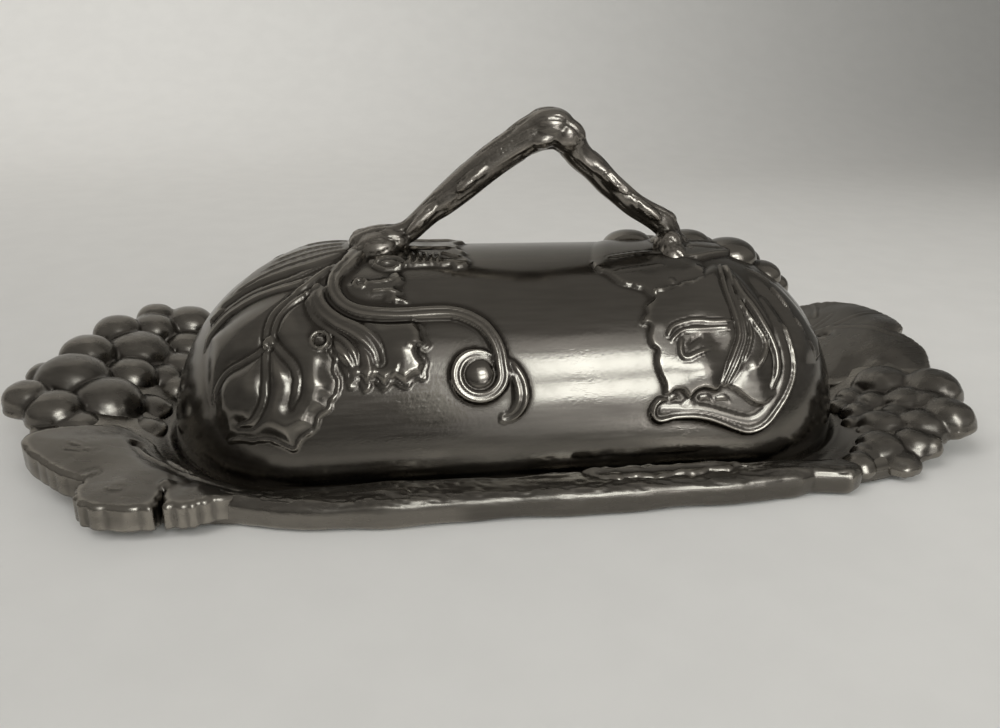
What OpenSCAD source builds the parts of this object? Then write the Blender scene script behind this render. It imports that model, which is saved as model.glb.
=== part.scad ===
// Covered butter dish with a vine pattern: a long tray, a half-barrel cover and a twig handle.
// Frame: origin under the middle of the dish, +X along its length, -Y to the front, +Z up.
// Lengths are in millimetres. The cover stands on the tray's floor and lifts straight off.

/* [Cover] */
// Length of the cover
cover_len = 185; // [180:1:190]
// Width of the cover at its rim
cover_w = 84; // [80:1:88]
// Height of the cover above the tray's floor
cover_h = 48; // [44:1:52]
// Thickness of the cover's wall
cover_wall = 2; // [1.5:0.1:2.5]
// Reach of each rounded end, seen from above
end_plan = 38; // [35:1:41]
// Reach of each rounded end, seen from the side
end_side = 46; // [43:1:49]

/* [Tray] */
// Thickness of the tray's floor
floor_t = 2.4; // [2:0.1:3]
// Height of the flat rim round the well
rim_h = 4; // [3.6:0.1:5]
// Room between the cover and the side of the well
well_gap = 2; // [1.5:0.1:3]
// Width of the flat rim beside the well, which carries the branches
rim_w = 9; // [8.6:0.1:10]
// Reach of each raised end past the well
end_reach = 31; // [28:1:34]
// Rise of each raised end above the rim
end_rise = 10; // [7:0.5:12]
// Extra rise of the raised ends towards the back, per millimetre of depth
end_lean = 0.05; // [0:0.01:0.06]
// Thickness of the raised ends
flange_t = 3; // [2.4:0.1:3.4]

/* [Vine branches] */
// Width of a branch on the rim
branch_w = 8.4; // [7:0.1:8.6]
// Height of a branch above the rim
branch_h = 4.8; // [4:0.1:6]
// Length of each branch
branch_len = 148; // [130:1:150]
// Spacing of the swellings in the bark
bark_pitch = 17; // [12:1:24]

/* [Leaves, stems and grapes] */
// Thickness of a leaf at its edge, on the cover
leaf_edge = 1; // [0.8:0.1:1.4]
// Thickness of a leaf along its veins, on the cover
leaf_crown = 2.4; // [1.8:0.1:3]
// Thickness of a leaf at its edge, on the tray
tray_leaf_edge = 4.6; // [3.8:0.1:5]
// Thickness of a leaf along its veins, on the tray
tray_leaf_crown = 5.8; // [5:0.1:6.6]
// Width of the curled tendril
tendril_w = 4; // [3.4:0.1:5]
// Height of the curled tendril
tendril_h = 2; // [1.6:0.1:2.6]
// Size of a grape on the tray, for the middle one of the sizes there
grape_d = 13; // [12:0.5:14]
// Size of a grape on the cover
cover_grape_d = 13; // [11:0.5:14]

/* [Handle] */
// Height of the twig handle's highest point above the cover
handle_rise = 36.6; // [34:0.2:40]
// Thickness of the twig
handle_d = 6.8; // [6:0.2:8]
// Thickness of the knot at the top of the twig
knot_d = 10.6; // [9:0.2:12]
// Thickness of each foot of the twig
foot_d = 10; // [9.5:0.1:11]
// Place of the left foot along the cover
left_foot_x = -43; // [-44:0.5:-42]
// Place of the right foot along the cover
right_foot_x = 43; // [42:0.5:44]
// Thread diameter of the handle screws
screw_d = 4; // [3:0.5:4]
// Depth of a handle screw in its foot
screw_grip = 5; // [4:0.5:6]

/* [Hidden] */

pewter = "dimgray";
half_len = cover_len / 2;
top_z = floor_t + cover_h;
straight = half_len - end_plan;
well_x = half_len + well_gap;
well_y = cover_w / 2 + well_gap;
tray_x = well_x + end_reach;
tray_y = well_y + rim_w;
// Clearance between a curved ornament and the curved surface that carries it
seat_gap = 0.35;
// The same clearance for a leaf on the tray, which spans a longer curve
tray_seat_gap = 0.5;
// Clearance where an ornament is cut to the facets of the surface under it
cut_gap = 0.05;
// Side clearance of a handle screw in the cover and in its foot
screw_gap = 0.2;
arch_step = 6;
end_step = 8;
loop_step = 7.5;

function clamp01(t) = max(0, min(1, t));
function smooth(t) = let (c = clamp01(t)) c * c * (3 - 2 * c);
function mix(p, q, t) = p + (q - p) * t;
function area(p) = let (n = len(p))
    [for (i = 0, s = 0; i <= n;
          s = s + (i < n ? p[i][0] * p[(i + 1) % n][1] - p[(i + 1) % n][0] * p[i][1] : 0), i = i + 1) s][n];
function reversed(p) = [for (i = [len(p) - 1:-1:0]) p[i]];
function clockwise(p) = area(p) > 0 ? reversed(p) : p;
function middle(p) = [for (k = [0:len(p[0]) - 1]) [for (q = p) 1] * [for (q = p) q[k]] / len(p)];

// The pattern is laid out for a cover 185 long, a tray end reaching 31 out and a tray 106 deep, with
// branches 148 long and 8.4 wide and feet 86 apart. These make it follow other sizes
function along(x) = x * cover_len / 185;
function out(x) = x * end_reach / 31;
function deep(y) = y * tray_y / 53;
function foot_span(x) = (left_foot_x + right_foot_x) / 2 + x * (right_foot_x - left_foot_x) / 86;

// How much of the cover's full width or height is left at x, near a rounded end
function round_end(x, reach, half) = let (t = clamp01((abs(x) - half + reach) / reach)) sqrt(1 - t * t);

// A point of the cover's outside at x and at angle a round the X axis (0 at the front rim, 90 on
// top, 180 at the back rim), raised by h
function dome(x, a, h = 0) = [x,
    -(cover_w / 2 + h) * round_end(x, end_plan + h, half_len + h) * cos(a),
    floor_t + (cover_h + h) * round_end(x, end_side + h, half_len + h) * sin(a)];

// The top of the tray outside its well: flat beside the well, rising towards the ends
function tray_top(x, y) = rim_h
    + end_rise * smooth((abs(x) - well_x + 3) / (end_reach + 6)) * (1 + end_lean * y / end_rise * 2);

// A closed loop round the tray, clockwise from above: straight sides and rounded ends
function tray_loop(x_end, y_side, power) = [for (side = [1, -1], a = [90:-loop_step:-90])
    let (c = pow(max(0, cos(a)), 2 / power), s = pow(abs(sin(a)), 2 / power) * sign(sin(a)))
    [side * (straight + (x_end - straight) * c), side * y_side * s]];

// A closed surface over a start point, a row of rings and an end point
module skin(first, rings, last) {
    n = len(rings[0]);
    m = len(rings);
    points = concat([first], [for (r = rings) each r], [last]);
    faces = concat(
        [for (k = [0:n - 1]) [0, 1 + (k + 1) % n, 1 + k]],
        [for (i = [0:m - 2], k = [0:n - 1]) let (a = 1 + i * n + k, b = 1 + i * n + (k + 1) % n)
            each [[a, b, a + n], [b, b + n, a + n]]],
        [for (k = [0:n - 1]) let (r = 1 + (m - 1) * n) [r + k, r + (k + 1) % n, m * n + 1]]);
    polyhedron(points, faces, convexity = 6);
}

// The cover's outside as a solid, raised by h and reaching drop below the rim
module dome_solid(h, drop = 0) {
    reach = end_side + h;
    xs = concat([for (a = [-88:end_step:0]) -(half_len - end_side) + reach * sin(a)],
                [for (a = [0:end_step:88]) half_len - end_side + reach * sin(a)]);
    rings = [for (x = xs) concat([for (a = [0:arch_step:180]) dome(x, a, h)],
        drop > 0 ? [dome(x, 180, h) - [0, 0, drop], dome(x, 0, h) - [0, 0, drop]] : [])];
    skin(middle(rings[0]), rings, middle(rings[len(xs) - 1]));
}

// A leaf on the cover. Its outline is a list of [x, angle], veins run to every point whose third
// value is 1, and it is star-shaped about its centre
module dome_leaf(middle_at, outline) {
    centre = [along(middle_at[0]), middle_at[1]];
    way = clockwise([for (p = outline) [along(p[0]), p[1], p[2]]]);
    steps = [0.25, 0.5, 0.75, 1];
    low = [for (s = steps) [for (p = way) dome(mix(centre[0], p[0], s), mix(centre[1], p[1], s), seat_gap)]];
    high = [for (s = reversed(steps)) [for (p = way)
        dome(mix(centre[0], p[0], s), mix(centre[1], p[1], s),
             seat_gap + leaf_edge + (leaf_crown - leaf_edge) * (1 - pow(s, 3)) * (p[2] == 1 ? 1 : 0.35))]];
    skin(dome(centre[0], centre[1], seat_gap), concat(low, high),
         dome(centre[0], centre[1], seat_gap + leaf_crown));
}

// A leaf on the tray, of the same kind. Its outline is a list of distances out from the well's end
// and depths; side is -1 for the left end and 1 for the right
module tray_leaf(side, middle_at, outline) {
    centre = [side * (well_x + out(middle_at[0])), deep(middle_at[1])];
    way = clockwise([for (p = outline) [side * (well_x + out(p[0])), deep(p[1]), p[2]]]);
    steps = [0.2, 0.4, 0.6, 0.8, 1];
    function at(p, s, h) = let (x = mix(centre[0], p[0], s), y = mix(centre[1], p[1], s))
        [x, y, tray_top(x, y) + h];
    low = [for (s = steps) [for (p = way) at(p, s, tray_seat_gap)]];
    swell = tray_leaf_crown - tray_leaf_edge;
    high = [for (s = reversed(steps)) [for (p = way)
        at(p, s, tray_leaf_edge + swell * (1 - pow(s, 3)) * (p[2] == 1 ? 1 : 0.3))]];
    skin(at(centre, 0, tray_seat_gap), concat(low, high), at(centre, 0, tray_leaf_crown));
}

// A half-round cord of metal on the cover, along a list of [x, angle]
module dome_cord(places, width, height) {
    path = [for (p = places) [along(p[0]), p[1]]];
    n = len(path);
    flank = 6;
    mm_per_deg = cover_h * PI / 180;
    rings = [for (i = [0:n - 1])
        let (p = path[i], q = path[min(n - 1, i + 1)] - path[max(0, i - 1)],
             d = [q[0], q[1] * mm_per_deg], u = d / norm(d),
             grow = 0.45 + 0.55 * min(1, min(i, n - 1 - i) / 2))
        [for (k = [0:flank]) let (b = 180 * k / flank, w = -width / 2 * grow * cos(b))
            dome(p[0] - u[1] * w, p[1] + u[0] * w / mm_per_deg, seat_gap + height * grow * sin(b))]];
    skin(middle(rings[0]), rings, middle(rings[n - 1]));
}

// A berry: a short rounded body, longer along X
module berry(at, d) {
    translate(at) hull() for (side = [-1, 1]) translate([side * d / 12, 0, 0]) sphere(d = d * 0.94, $fn = 16);
}

// The tray's body under its ornaments, from its top down past the foot
module tray_body(h, sunk) {
    steps = [0, 0.2, 0.4, 0.6, 0.8, 1];
    inner = tray_loop(well_x, well_y, 2);
    outer = tray_loop(tray_x, tray_y, 2.6);
    high = [for (s = reversed(steps)) [for (k = [0:len(inner) - 1])
        let (x = mix(inner[k][0], outer[k][0], s), y = mix(inner[k][1], outer[k][1], s))
        [x, y, tray_top(x, y) + h]]];
    foot = [for (p = tray_loop(well_x - 1, tray_y - 1.2, 2.2)) [p[0], p[1], -sunk]];
    low = [for (s = [0.25, 0.5, 0.75, 1]) [for (k = [0:len(inner) - 1])
        let (x = mix(foot[k][0], outer[k][0], s), y = mix(foot[k][1], outer[k][1], s))
        [x, y, sunk > 0 ? -sunk : max(tray_top(x, y) - flange_t, 0.25 + 0.25 * s)]]];
    floor_edge = [for (p = tray_loop(well_x - 1, well_y - 1, 2)) [p[0], p[1], floor_t + h]];
    skin([0, 0, -sunk], concat([foot], low, high, [floor_edge]), [0, 0, floor_t + h]);
}

module tray_pan() {
    color(pewter) tray_body(0, 0);
}

// A branch lies along the rim: half-round, with swellings in its bark
module branch() {
    flank = 8;
    rows = ceil(branch_len / 4);
    y = -(well_y + rim_w / 2);
    rings = [for (i = [0:rows])
        let (x = (i / rows - 0.5) * branch_len,
             taper = 0.55 + 0.45 * min(1, min(i, rows - i) / 2),
             swell = 0.88 + 0.12 * sin(360 * x / bark_pitch) * cos(97 * i),
             w = branch_w / 2 * taper * swell, t = branch_h * taper * swell)
        [for (k = [0:flank]) let (b = 180 * k / flank) [x, y - w * cos(b), rim_h + t * sin(b)]]];
    skin(middle(rings[0]), rings, middle(rings[rows]));
}

module front_branch() {
    color(pewter) branch();
}

module back_branch() {
    color(pewter) rotate([0, 0, 180]) branch();
}

// Places of the grapes at one end: distance out from the well's end, depth from the middle, lift and
// size, the last two as shares of grape_d
module grape_bunch(side, places) {
    color(pewter) difference() {
        for (p = places) let (x = side * (well_x + out(p[0])), y = deep(p[1]))
            berry([x, y, tray_top(x, y) + grape_d * p[2]], grape_d * p[3]);
        tray_body(cut_gap, 30);
    }
}

module left_grapes() {
    grape_bunch(-1, [[33.4, -7, 0.13, 0.86], [26, -11.5, 0.12, 0.95], [26, 5.5, 0.12, 1.3],
        [15.5, 0, 0.18, 1.25], [25.5, 21, 0.14, 1.02], [14.5, 29, 0.28, 1.25], [13, 15, 0.12, 1],
        [21, 37.5, 0.24, 1], [13.5, 44, 0.4, 0.98], [3.5, 42, 0.42, 1.05], [4, 29, 0.3, 1],
        [4.5, 17.5, 0.05, 0.72], [-5, 45.5, 0.1, 0.9]]);
}

module right_grapes() {
    grape_bunch(1, [[12, -8.5, 0.1, 0.9], [25, -19.5, 0.12, 1], [15, -22, 0.14, 0.88], [23, -33, 0.08, 0.88],
        [13.5, -39.5, 0.1, 0.9], [6, -29.5, 0.12, 0.88], [-1.5, -38, 0.12, 0.86], [-3, -46.5, 0.1, 0.74]]);
}

module left_leaf() {
    color(pewter) tray_leaf(-1, [7, -33], [[7, -14, 0], [14, -19, 1], [19, -21.5, 0], [25, -26, 1],
        [25, -31, 1], [23.5, -35, 0], [19, -40.5, 1], [16, -42.5, 1], [12.5, -42, 0], [9, -50, 1],
        [4, -52, 1], [-3, -52.6, 1], [-7, -50.6, 0], [-11, -52.8, 1], [-15, -52.4, 1], [-18, -49, 0],
        [-15.5, -41, 1], [-8, -35, 0], [-2, -31, 0], [1, -24, 0]]);
}

module right_leaf() {
    color(pewter) tray_leaf(1, [14, 24], [[5, 4, 0], [12, 4.5, 0], [19, 3, 1], [24, -2, 0], [27, -8, 1],
        [32, -5, 1], [36, 3, 1], [36, 10, 0], [33.5, 14, 0], [38, 18, 1], [39.5, 24, 1], [37, 32, 1],
        [31.5, 38, 0], [28, 41, 1], [25.5, 44, 0], [25, 48, 1], [19, 52, 1], [12, 49.5, 0], [3, 51.5, 1],
        [-6, 48.5, 1], [-5, 40, 0], [-1, 31, 0], [3, 20, 0], [3, 10, 0]]);
}

// A small leaf over a branch, bent round its top
module rim_leaf() {
    y0 = -(well_y + rim_w / 2);
    x0 = branch_len / 6;
    long = branch_len / 148;
    wide = branch_w / 8.4;
    outline = clockwise([[0, 3.2, 1], [7, 2, 0], [12, 3.4, 1], [18, 1.6, 0], [24, 2, 1], [27, -1, 1],
        [21, -2, 0], [17, -3.4, 1], [10, -2.2, 0], [5, -3.4, 1], [0, -2.2, 0], [-5, -1, 1]]);
    half_w = branch_w / 2 + 0.6;
    function at(p, s, h) = let (x = mix(11, p[0], s) * long, y = mix(0, p[1], s) * wide)
        [x0 + x, y0 + y, rim_h + h + (branch_h + seat_gap) * sqrt(max(0, 1 - pow(y / half_w, 2)))];
    steps = [0.33, 0.66, 1];
    color(pewter) skin(at([11, 0], 0, 0),
        concat([for (s = steps) [for (p = outline) at(p, s, 0)]],
               [for (s = reversed(steps)) [for (p = outline) at(p, s, leaf_edge * (p[2] == 1 ? 1 : 0.7))]]),
        at([11, 0], 0, leaf_edge * 1.4));
}

module front_rim_leaf() {
    rim_leaf();
}

module back_rim_leaf() {
    rotate([0, 0, 180]) rim_leaf();
}

module screw_holes() {
    for (x = [left_foot_x, right_foot_x]) translate([x, 0, floor_t])
        cylinder(d = screw_d + 2 * screw_gap, h = cover_h + screw_grip + screw_gap, $fn = 48);
}

module cover_shell() {
    color(pewter) difference() {
        dome_solid(0);
        dome_solid(-cover_wall, 1);
        screw_holes();
    }
}

// Leaves at the cover's ends. The back ones are the front ones turned half round
left_front_outline = [[-55, 70, 1], [-62, 68, 0], [-70, 66, 1], [-76, 60, 0], [-80, 52, 1], [-78, 44, 0],
    [-81, 34, 1], [-76, 26, 0], [-74, 16, 1], [-69, 21, 0], [-65, 14, 1], [-61, 20, 0], [-58, 14, 1],
    [-56, 23, 0], [-52, 26, 1], [-53, 33, 0], [-50, 38, 0], [-52, 45, 0], [-55, 53, 0], [-57, 62, 0]];
right_front_outline = [[53, 72, 1], [47, 62, 0], [38, 58, 1], [33, 53, 0], [26, 50, 1], [30, 44, 0],
    [28, 40, 1], [31, 37, 0], [29, 31, 1], [34, 27, 0], [40, 27.5, 1], [47, 29, 1], [52, 35, 0],
    [57, 30, 1], [61, 36, 1], [62, 46, 0], [64, 56, 1], [60, 64, 0]];

module left_front_leaf() {
    color(pewter) dome_leaf([-66, 42], left_front_outline);
}

// The leaf behind the grapes is the left front one, drawn down towards the rim to make room for them
module right_back_leaf() {
    rim_a = 6;
    squeeze = 0.72;
    outline = [for (p = left_front_outline) [p[0], rim_a + (p[1] - 14) * squeeze, p[2]]];
    color(pewter) rotate([0, 0, 180]) dome_leaf([-66, rim_a + 28 * squeeze], outline);
}

module right_front_leaf() {
    color(pewter) dome_leaf([46, 44], right_front_outline);
}

module left_back_leaf() {
    color(pewter) rotate([0, 0, 180]) dome_leaf([46, 44], right_front_outline);
}

module middle_leaf() {
    dome_leaf([-37, 41], [[-47.5, 50, 1], [-47, 43, 0], [-46, 37, 1], [-42, 35, 0], [-42, 30, 1],
        [-38, 33, 0], [-36, 29, 1], [-33, 33, 0], [-30, 30, 1], [-28, 36, 0], [-26, 40, 1], [-29, 44, 0],
        [-29, 49, 1], [-34, 48, 0], [-40, 49, 0]]);
}

module left_middle_leaf() {
    color(pewter) middle_leaf();
}

module right_back_middle_leaf() {
    color(pewter) rotate([0, 0, 180]) middle_leaf();
}

module left_foot_leaf() {
    color(pewter) dome_leaf([-24, 81], [[-28, 88, 0], [-26, 94, 1], [-22, 92, 0], [-16, 93, 1], [-18, 86, 0],
        [-15, 78, 1], [-21, 76, 0], [-26, 72, 1], [-31, 75, 0], [-35, 76, 1], [-34, 82, 0], [-28.5, 84, 0]]);
}

module right_foot_leaf() {
    color(pewter) dome_leaf([28, 77], [[15, 86, 1], [18, 79, 0], [17, 72, 1], [21, 70, 0], [24, 64, 1],
        [29, 66, 0], [34, 62, 1], [36, 69, 0], [36.5, 78, 0], [36, 86, 0], [30, 91, 1], [23, 88, 0]]);
}

// The curled tendril: a wavy run, a spiral turn and a short tail
module tendril() {
    turn = [-15.5, 36];
    curl = [for (b = [75:-20:-265]) let (turned = 75 - b)
        turn + [(6.6 - turned / 130) * cos(b), (8.4 - turned / 100) * sin(b)]];
    run = [[-47, 72], [-47.6, 66], [-47, 60.5], [-43.5, 57], [-38, 55.2], [-32.5, 54.4], [-27, 54.2],
        [-22, 53], [-18, 49.5]];
    dome_cord(concat(run, curl), tendril_w, tendril_h);
    tail = [[-5.6, 35], [-4, 31.5], [-3.4, 27.5], [-4, 23.5], [-6, 20.5], [-8.6, 19]];
    dome_cord(tail, tendril_w * 0.8, tendril_h * 0.8);
}

module front_tendril() {
    color(pewter) tendril();
}

module back_tendril() {
    color(pewter) rotate([0, 0, 180]) tendril();
}

// The stem that sweeps below the right front leaf
module stem() {
    dome_cord([[26, 20], [30, 19.5], [35, 20], [40, 19], [45, 17], [50, 15.5], [55, 16.5], [60, 20.5],
        [64, 27], [66.5, 36], [67.5, 46], [67, 56]], tendril_w, tendril_h);
}

module front_stem() {
    color(pewter) stem();
}

module back_stem() {
    color(pewter) rotate([0, 0, 180]) stem();
}

// The bunch on the cover stands on a bed of metal, and one more grape lies by the right foot
module cover_grapes() {
    bunch = [[56, 96], [67, 90], [57.5, 109], [68, 103.5], [78, 98], [68, 117], [78, 112]];
    bed = 0.5;
    color(pewter) difference() {
        union() {
            berry(dome(along(33.5), 105), cover_grape_d);
            for (p = bunch) berry(dome(along(p[0]), p[1]), cover_grape_d);
            hull() for (p = bunch) berry(dome(along(p[0]), p[1]), cover_grape_d * bed);
        }
        dome_solid(cut_gap);
    }
}

// The twig: a bent arch from foot to foot with a knot at the top, as [x, height share, thickness]
module handle() {
    knot_z = handle_rise - knot_d / 2;
    way = [[-43, 0.03, foot_d], [-36, 0.07, handle_d * 1.1], [-30, 0.18, handle_d * 0.92],
        [-24, 0.31, handle_d * 0.97], [-17, 0.5, handle_d], [-10.5, 0.675, handle_d],
        [-4, 0.84, handle_d * 1.06], [1, 0.935, handle_d * 1.18], [5.5, 1, knot_d],
        [10, 0.977, knot_d * 0.94], [14, 0.864, handle_d * 1.25], [18.5, 0.7, handle_d * 1.03],
        [24, 0.523, handle_d * 0.94], [30, 0.377, handle_d * 0.88], [36, 0.247, handle_d * 0.91],
        [40, 0.133, handle_d], [43, 0.02, foot_d * 0.97]];
    color(pewter) difference() {
        for (i = [0:len(way) - 2]) hull() for (p = [way[i], way[i + 1]])
            translate([foot_span(p[0]), 0, top_z + p[1] * knot_z]) sphere(d = p[2], $fn = 16);
        dome_solid(cut_gap);
        screw_holes();
    }
}

// Where the head of a screw at x touches the inside of the cover, which falls away towards the ends
function screw_seat(x, head_r) = let (
    at = abs(x) + head_r, reach = half_len - cover_wall,
    side = (cover_w / 2 - cover_wall) * round_end(at, end_plan - cover_wall, reach))
    floor_t + (cover_h - cover_wall) * round_end(at, end_side - cover_wall, reach)
        * sqrt(1 - pow(head_r / side, 2)) - cut_gap;

// Round-headed screws, put in from inside the cover
module handle_screws() {
    head_d = screw_d * 1.8;
    head_h = screw_d * 0.6;
    color("silver") for (x = [left_foot_x, right_foot_x]) translate([x, 0, screw_seat(x, head_d / 2)]) {
        cylinder(d = screw_d, h = top_z + screw_grip - screw_seat(x, head_d / 2), $fn = 48);
        difference() {
            translate([0, 0, -head_h]) cylinder(d = head_d, h = head_h, $fn = 48);
            translate([-head_d, -screw_d / 8, -head_h]) cube([2 * head_d, screw_d / 4, head_h / 2]);
        }
    }
}

tray_pan();
front_branch();
back_branch();
left_grapes();
right_grapes();
left_leaf();
right_leaf();
front_rim_leaf();
back_rim_leaf();
cover_shell();
left_front_leaf();
left_back_leaf();
left_middle_leaf();
right_back_middle_leaf();
left_foot_leaf();
right_front_leaf();
right_back_leaf();
right_foot_leaf();
front_tendril();
back_tendril();
front_stem();
back_stem();
cover_grapes();
handle();
handle_screws();
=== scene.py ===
"""Looks of the covered butter dish: cast metal with a dark pewter finish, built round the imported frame.

Lengths are in millimetres in this file and turned to metres where a mesh is made. Places on the cover
are given as (x, angle): x along the dish, and the angle round it, 0 at the front rim, 90 on top and
180 at the back rim.
"""
import logging
import math
from dataclasses import dataclass, field, replace
from enum import Enum

import bmesh
import bpy
import numpy as np
from mathutils import Matrix, Vector, geometry, noise


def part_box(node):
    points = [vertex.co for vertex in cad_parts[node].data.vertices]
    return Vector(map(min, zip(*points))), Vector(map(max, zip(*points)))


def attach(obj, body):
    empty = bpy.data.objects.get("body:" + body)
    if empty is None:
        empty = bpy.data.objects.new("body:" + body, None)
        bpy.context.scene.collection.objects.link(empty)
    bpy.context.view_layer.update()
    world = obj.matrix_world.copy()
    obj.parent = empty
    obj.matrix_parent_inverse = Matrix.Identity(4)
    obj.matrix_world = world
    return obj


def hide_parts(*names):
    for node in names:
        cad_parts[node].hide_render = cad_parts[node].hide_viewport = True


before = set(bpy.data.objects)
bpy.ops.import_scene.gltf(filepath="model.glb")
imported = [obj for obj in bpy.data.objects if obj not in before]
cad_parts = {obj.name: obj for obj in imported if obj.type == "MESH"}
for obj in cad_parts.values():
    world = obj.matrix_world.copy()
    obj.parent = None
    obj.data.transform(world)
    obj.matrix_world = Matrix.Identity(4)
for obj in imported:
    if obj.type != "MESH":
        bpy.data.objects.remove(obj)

LOG = logging.getLogger("butter_dish")
MM = 0.001
TRAY_BODY = "tray"
COVER_BODY = "cover"
Path2 = list[tuple[float, float]]


class Slot(Enum):
    """The record's material slots."""

    TRAY = "tray_metal"
    COVER = "cover_metal"
    HANDLE = "handle_metal"
    SCREW = "screw_steel"


def srgb(code: str) -> tuple[float, float, float, float]:
    """Turns an sRGB hex code to linear colour.

    Args:
        code: Six hex digits after a hash sign.

    Returns:
        Linear red, green, blue and alpha.
    """
    parts = [int(code[i:i + 2], 16) / 255 for i in (1, 3, 5)]
    return (*[p / 12.92 if p <= 0.04045 else ((p + 0.055) / 1.055) ** 2.4 for p in parts], 1.0)


def smooth(t: np.ndarray) -> np.ndarray:
    """A step from 0 to 1 with level ends, over t from 0 to 1."""
    c = np.clip(t, 0, 1)
    return c * c * (3 - 2 * c)


def rounded(path: Path2, step: float = 1.0, closed: bool = False) -> np.ndarray:
    """Draws a smooth curve through the points of a path.

    Args:
        path: Points in the plane or on the cover.
        step: Rough spacing of the points returned, in the path's own units.
        closed: True if the path comes back to its start.

    Returns:
        Points on the curve, one row each.
    """
    p = np.array(path, float)
    p = np.vstack([p[-1:], p, p[:2]]) if closed else np.vstack([2 * p[0] - p[1], p, 2 * p[-1] - p[-2]])
    rows = []
    for a, b, c, d in zip(p[:-3], p[1:-2], p[2:-1], p[3:]):
        count = max(2, int(np.linalg.norm(c - b) / step) + 1)
        t = np.arange(count)[:, None] / count
        rows.append(0.5 * (2 * b + (c - a) * t + (2 * a - 5 * b + 4 * c - d) * t ** 2
                           + (3 * b - a - 3 * c + d) * t ** 3))
    if not closed:
        rows.append(p[-2:-1])
    return np.vstack(rows)


def inside(outline: np.ndarray, x: np.ndarray, y: np.ndarray) -> np.ndarray:
    """Tells which points lie inside a closed outline.

    Args:
        outline: Corners, one row each.
        x: First coordinates of the points.
        y: Second coordinates of the points.

    Returns:
        True where a point is inside.
    """
    hit = np.zeros(x.shape, bool)
    for (ax, ay), (bx, by) in zip(outline, np.roll(outline, -1, axis=0)):
        if ay != by:
            cross = (ay > y) != (by > y)
            hit ^= cross & (x < (bx - ax) * (y - ay) / (by - ay) + ax)
    return hit


def far_from(points: np.ndarray, path: np.ndarray, reach: float) -> tuple[np.ndarray, ...]:
    """Measures how far points lie from a path in space.

    Args:
        points: Points, one row each.
        path: Points of the path, one row each.
        reach: Distance beyond which a point is left out.

    Returns:
        The rows of points within reach of the path's box, their distances from it, and how far along
        it their nearest place is.
    """
    low, high = path.min(0) - reach, path.max(0) + reach
    rows = np.nonzero(((points > low) & (points < high)).all(1))[0]
    near = points[rows]
    best = np.full(len(rows), reach * 10.0)
    along = np.zeros(len(rows))
    run = 0.0
    for a, b in zip(path[:-1], path[1:]):
        d = b - a
        length = float(np.linalg.norm(d))
        if length == 0:
            continue
        t = np.clip((near - a) @ d / length ** 2, 0, 1)
        gap = np.linalg.norm(near - a - t[:, None] * d, axis=1)
        closer = gap < best
        best[closer] = gap[closer]
        along[closer] = run + t[closer] * length
        run += length
    return rows, best, along


def waves(points: np.ndarray, scale: float, seed: float, depth: int = 3) -> np.ndarray:
    """Smooth noise at points in space.

    Args:
        points: Points, one row each.
        scale: Size of the largest lumps.
        seed: Moves the noise to another place.
        depth: Number of finer layers.

    Returns:
        A number for each point, mostly from -1 to 1.
    """
    shift = Vector((seed, seed * 2.3, seed * 3.7))
    return np.array([noise.fractal(Vector(p) / scale + shift, 1.0, 2.0, depth) for p in points])


def grid_faces(rows: int, columns: int, loop: bool = False, start: int = 0) -> list[tuple[int, ...]]:
    """Quads over a grid of points that are numbered row by row.

    Args:
        rows: Number of rows.
        columns: Number of points in a row.
        loop: True if each row closes on itself.
        start: Number of the first point.

    Returns:
        Point numbers of each quad.
    """
    i, k = np.meshgrid(np.arange(rows - 1), np.arange(columns if loop else columns - 1), indexing="ij")
    a = start + i * columns + k
    b = start + i * columns + (k + 1) % columns
    quads = np.stack([a, b, b + columns, a + columns], axis=-1).reshape(-1, 4)
    return quads.tolist()


def closed_tube(rings: np.ndarray) -> tuple[np.ndarray, list[tuple[int, ...]]]:
    """Closes a row of rings with a point at each end.

    Args:
        rings: Points as rings, places in a ring, and coordinates.

    Returns:
        The points, one row each, and the faces.
    """
    rows, columns = rings.shape[:2]
    points = np.vstack([rings.reshape(-1, 3), rings[0].mean(0), rings[-1].mean(0)])
    faces = grid_faces(rows, columns, loop=True)
    first, last = rows * columns, rows * columns + 1
    for k in range(columns):
        other = (k + 1) % columns
        faces.append((first, other, k))
        faces.append((last, (rows - 1) * columns + k, (rows - 1) * columns + other))
    return points, faces


def make_piece(name: str, points: np.ndarray, faces: list, body: str, slot: Slot,
               *nodes: str) -> bpy.types.Object:
    """Makes a piece that rides on a body and stands for CAD nodes.

    Args:
        name: Name of the piece.
        points: Points in millimetres, one row each.
        faces: Point numbers of each face.
        body: The CAD body that it rides on.
        slot: The record's slot that its finish belongs to. Not used.
        *nodes: The CAD nodes that it replaces.

    Returns:
        The new object.
    """
    mesh = bpy.data.meshes.new(name)
    mesh.from_pydata((np.asarray(points) * MM).tolist(), [], faces)
    mesh.validate()
    skin = bmesh.new()
    skin.from_mesh(mesh)
    bmesh.ops.recalc_face_normals(skin, faces=skin.faces)
    skin.to_mesh(mesh)
    skin.free()
    mesh.polygons.foreach_set("use_smooth", [True] * len(mesh.polygons))
    piece = bpy.data.objects.new(name, mesh)
    bpy.context.scene.collection.objects.link(piece)
    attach(piece, body)
    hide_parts(*nodes)
    LOG.info("%s: %d points, %d faces", name, len(mesh.vertices), len(mesh.polygons))
    return piece


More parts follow.
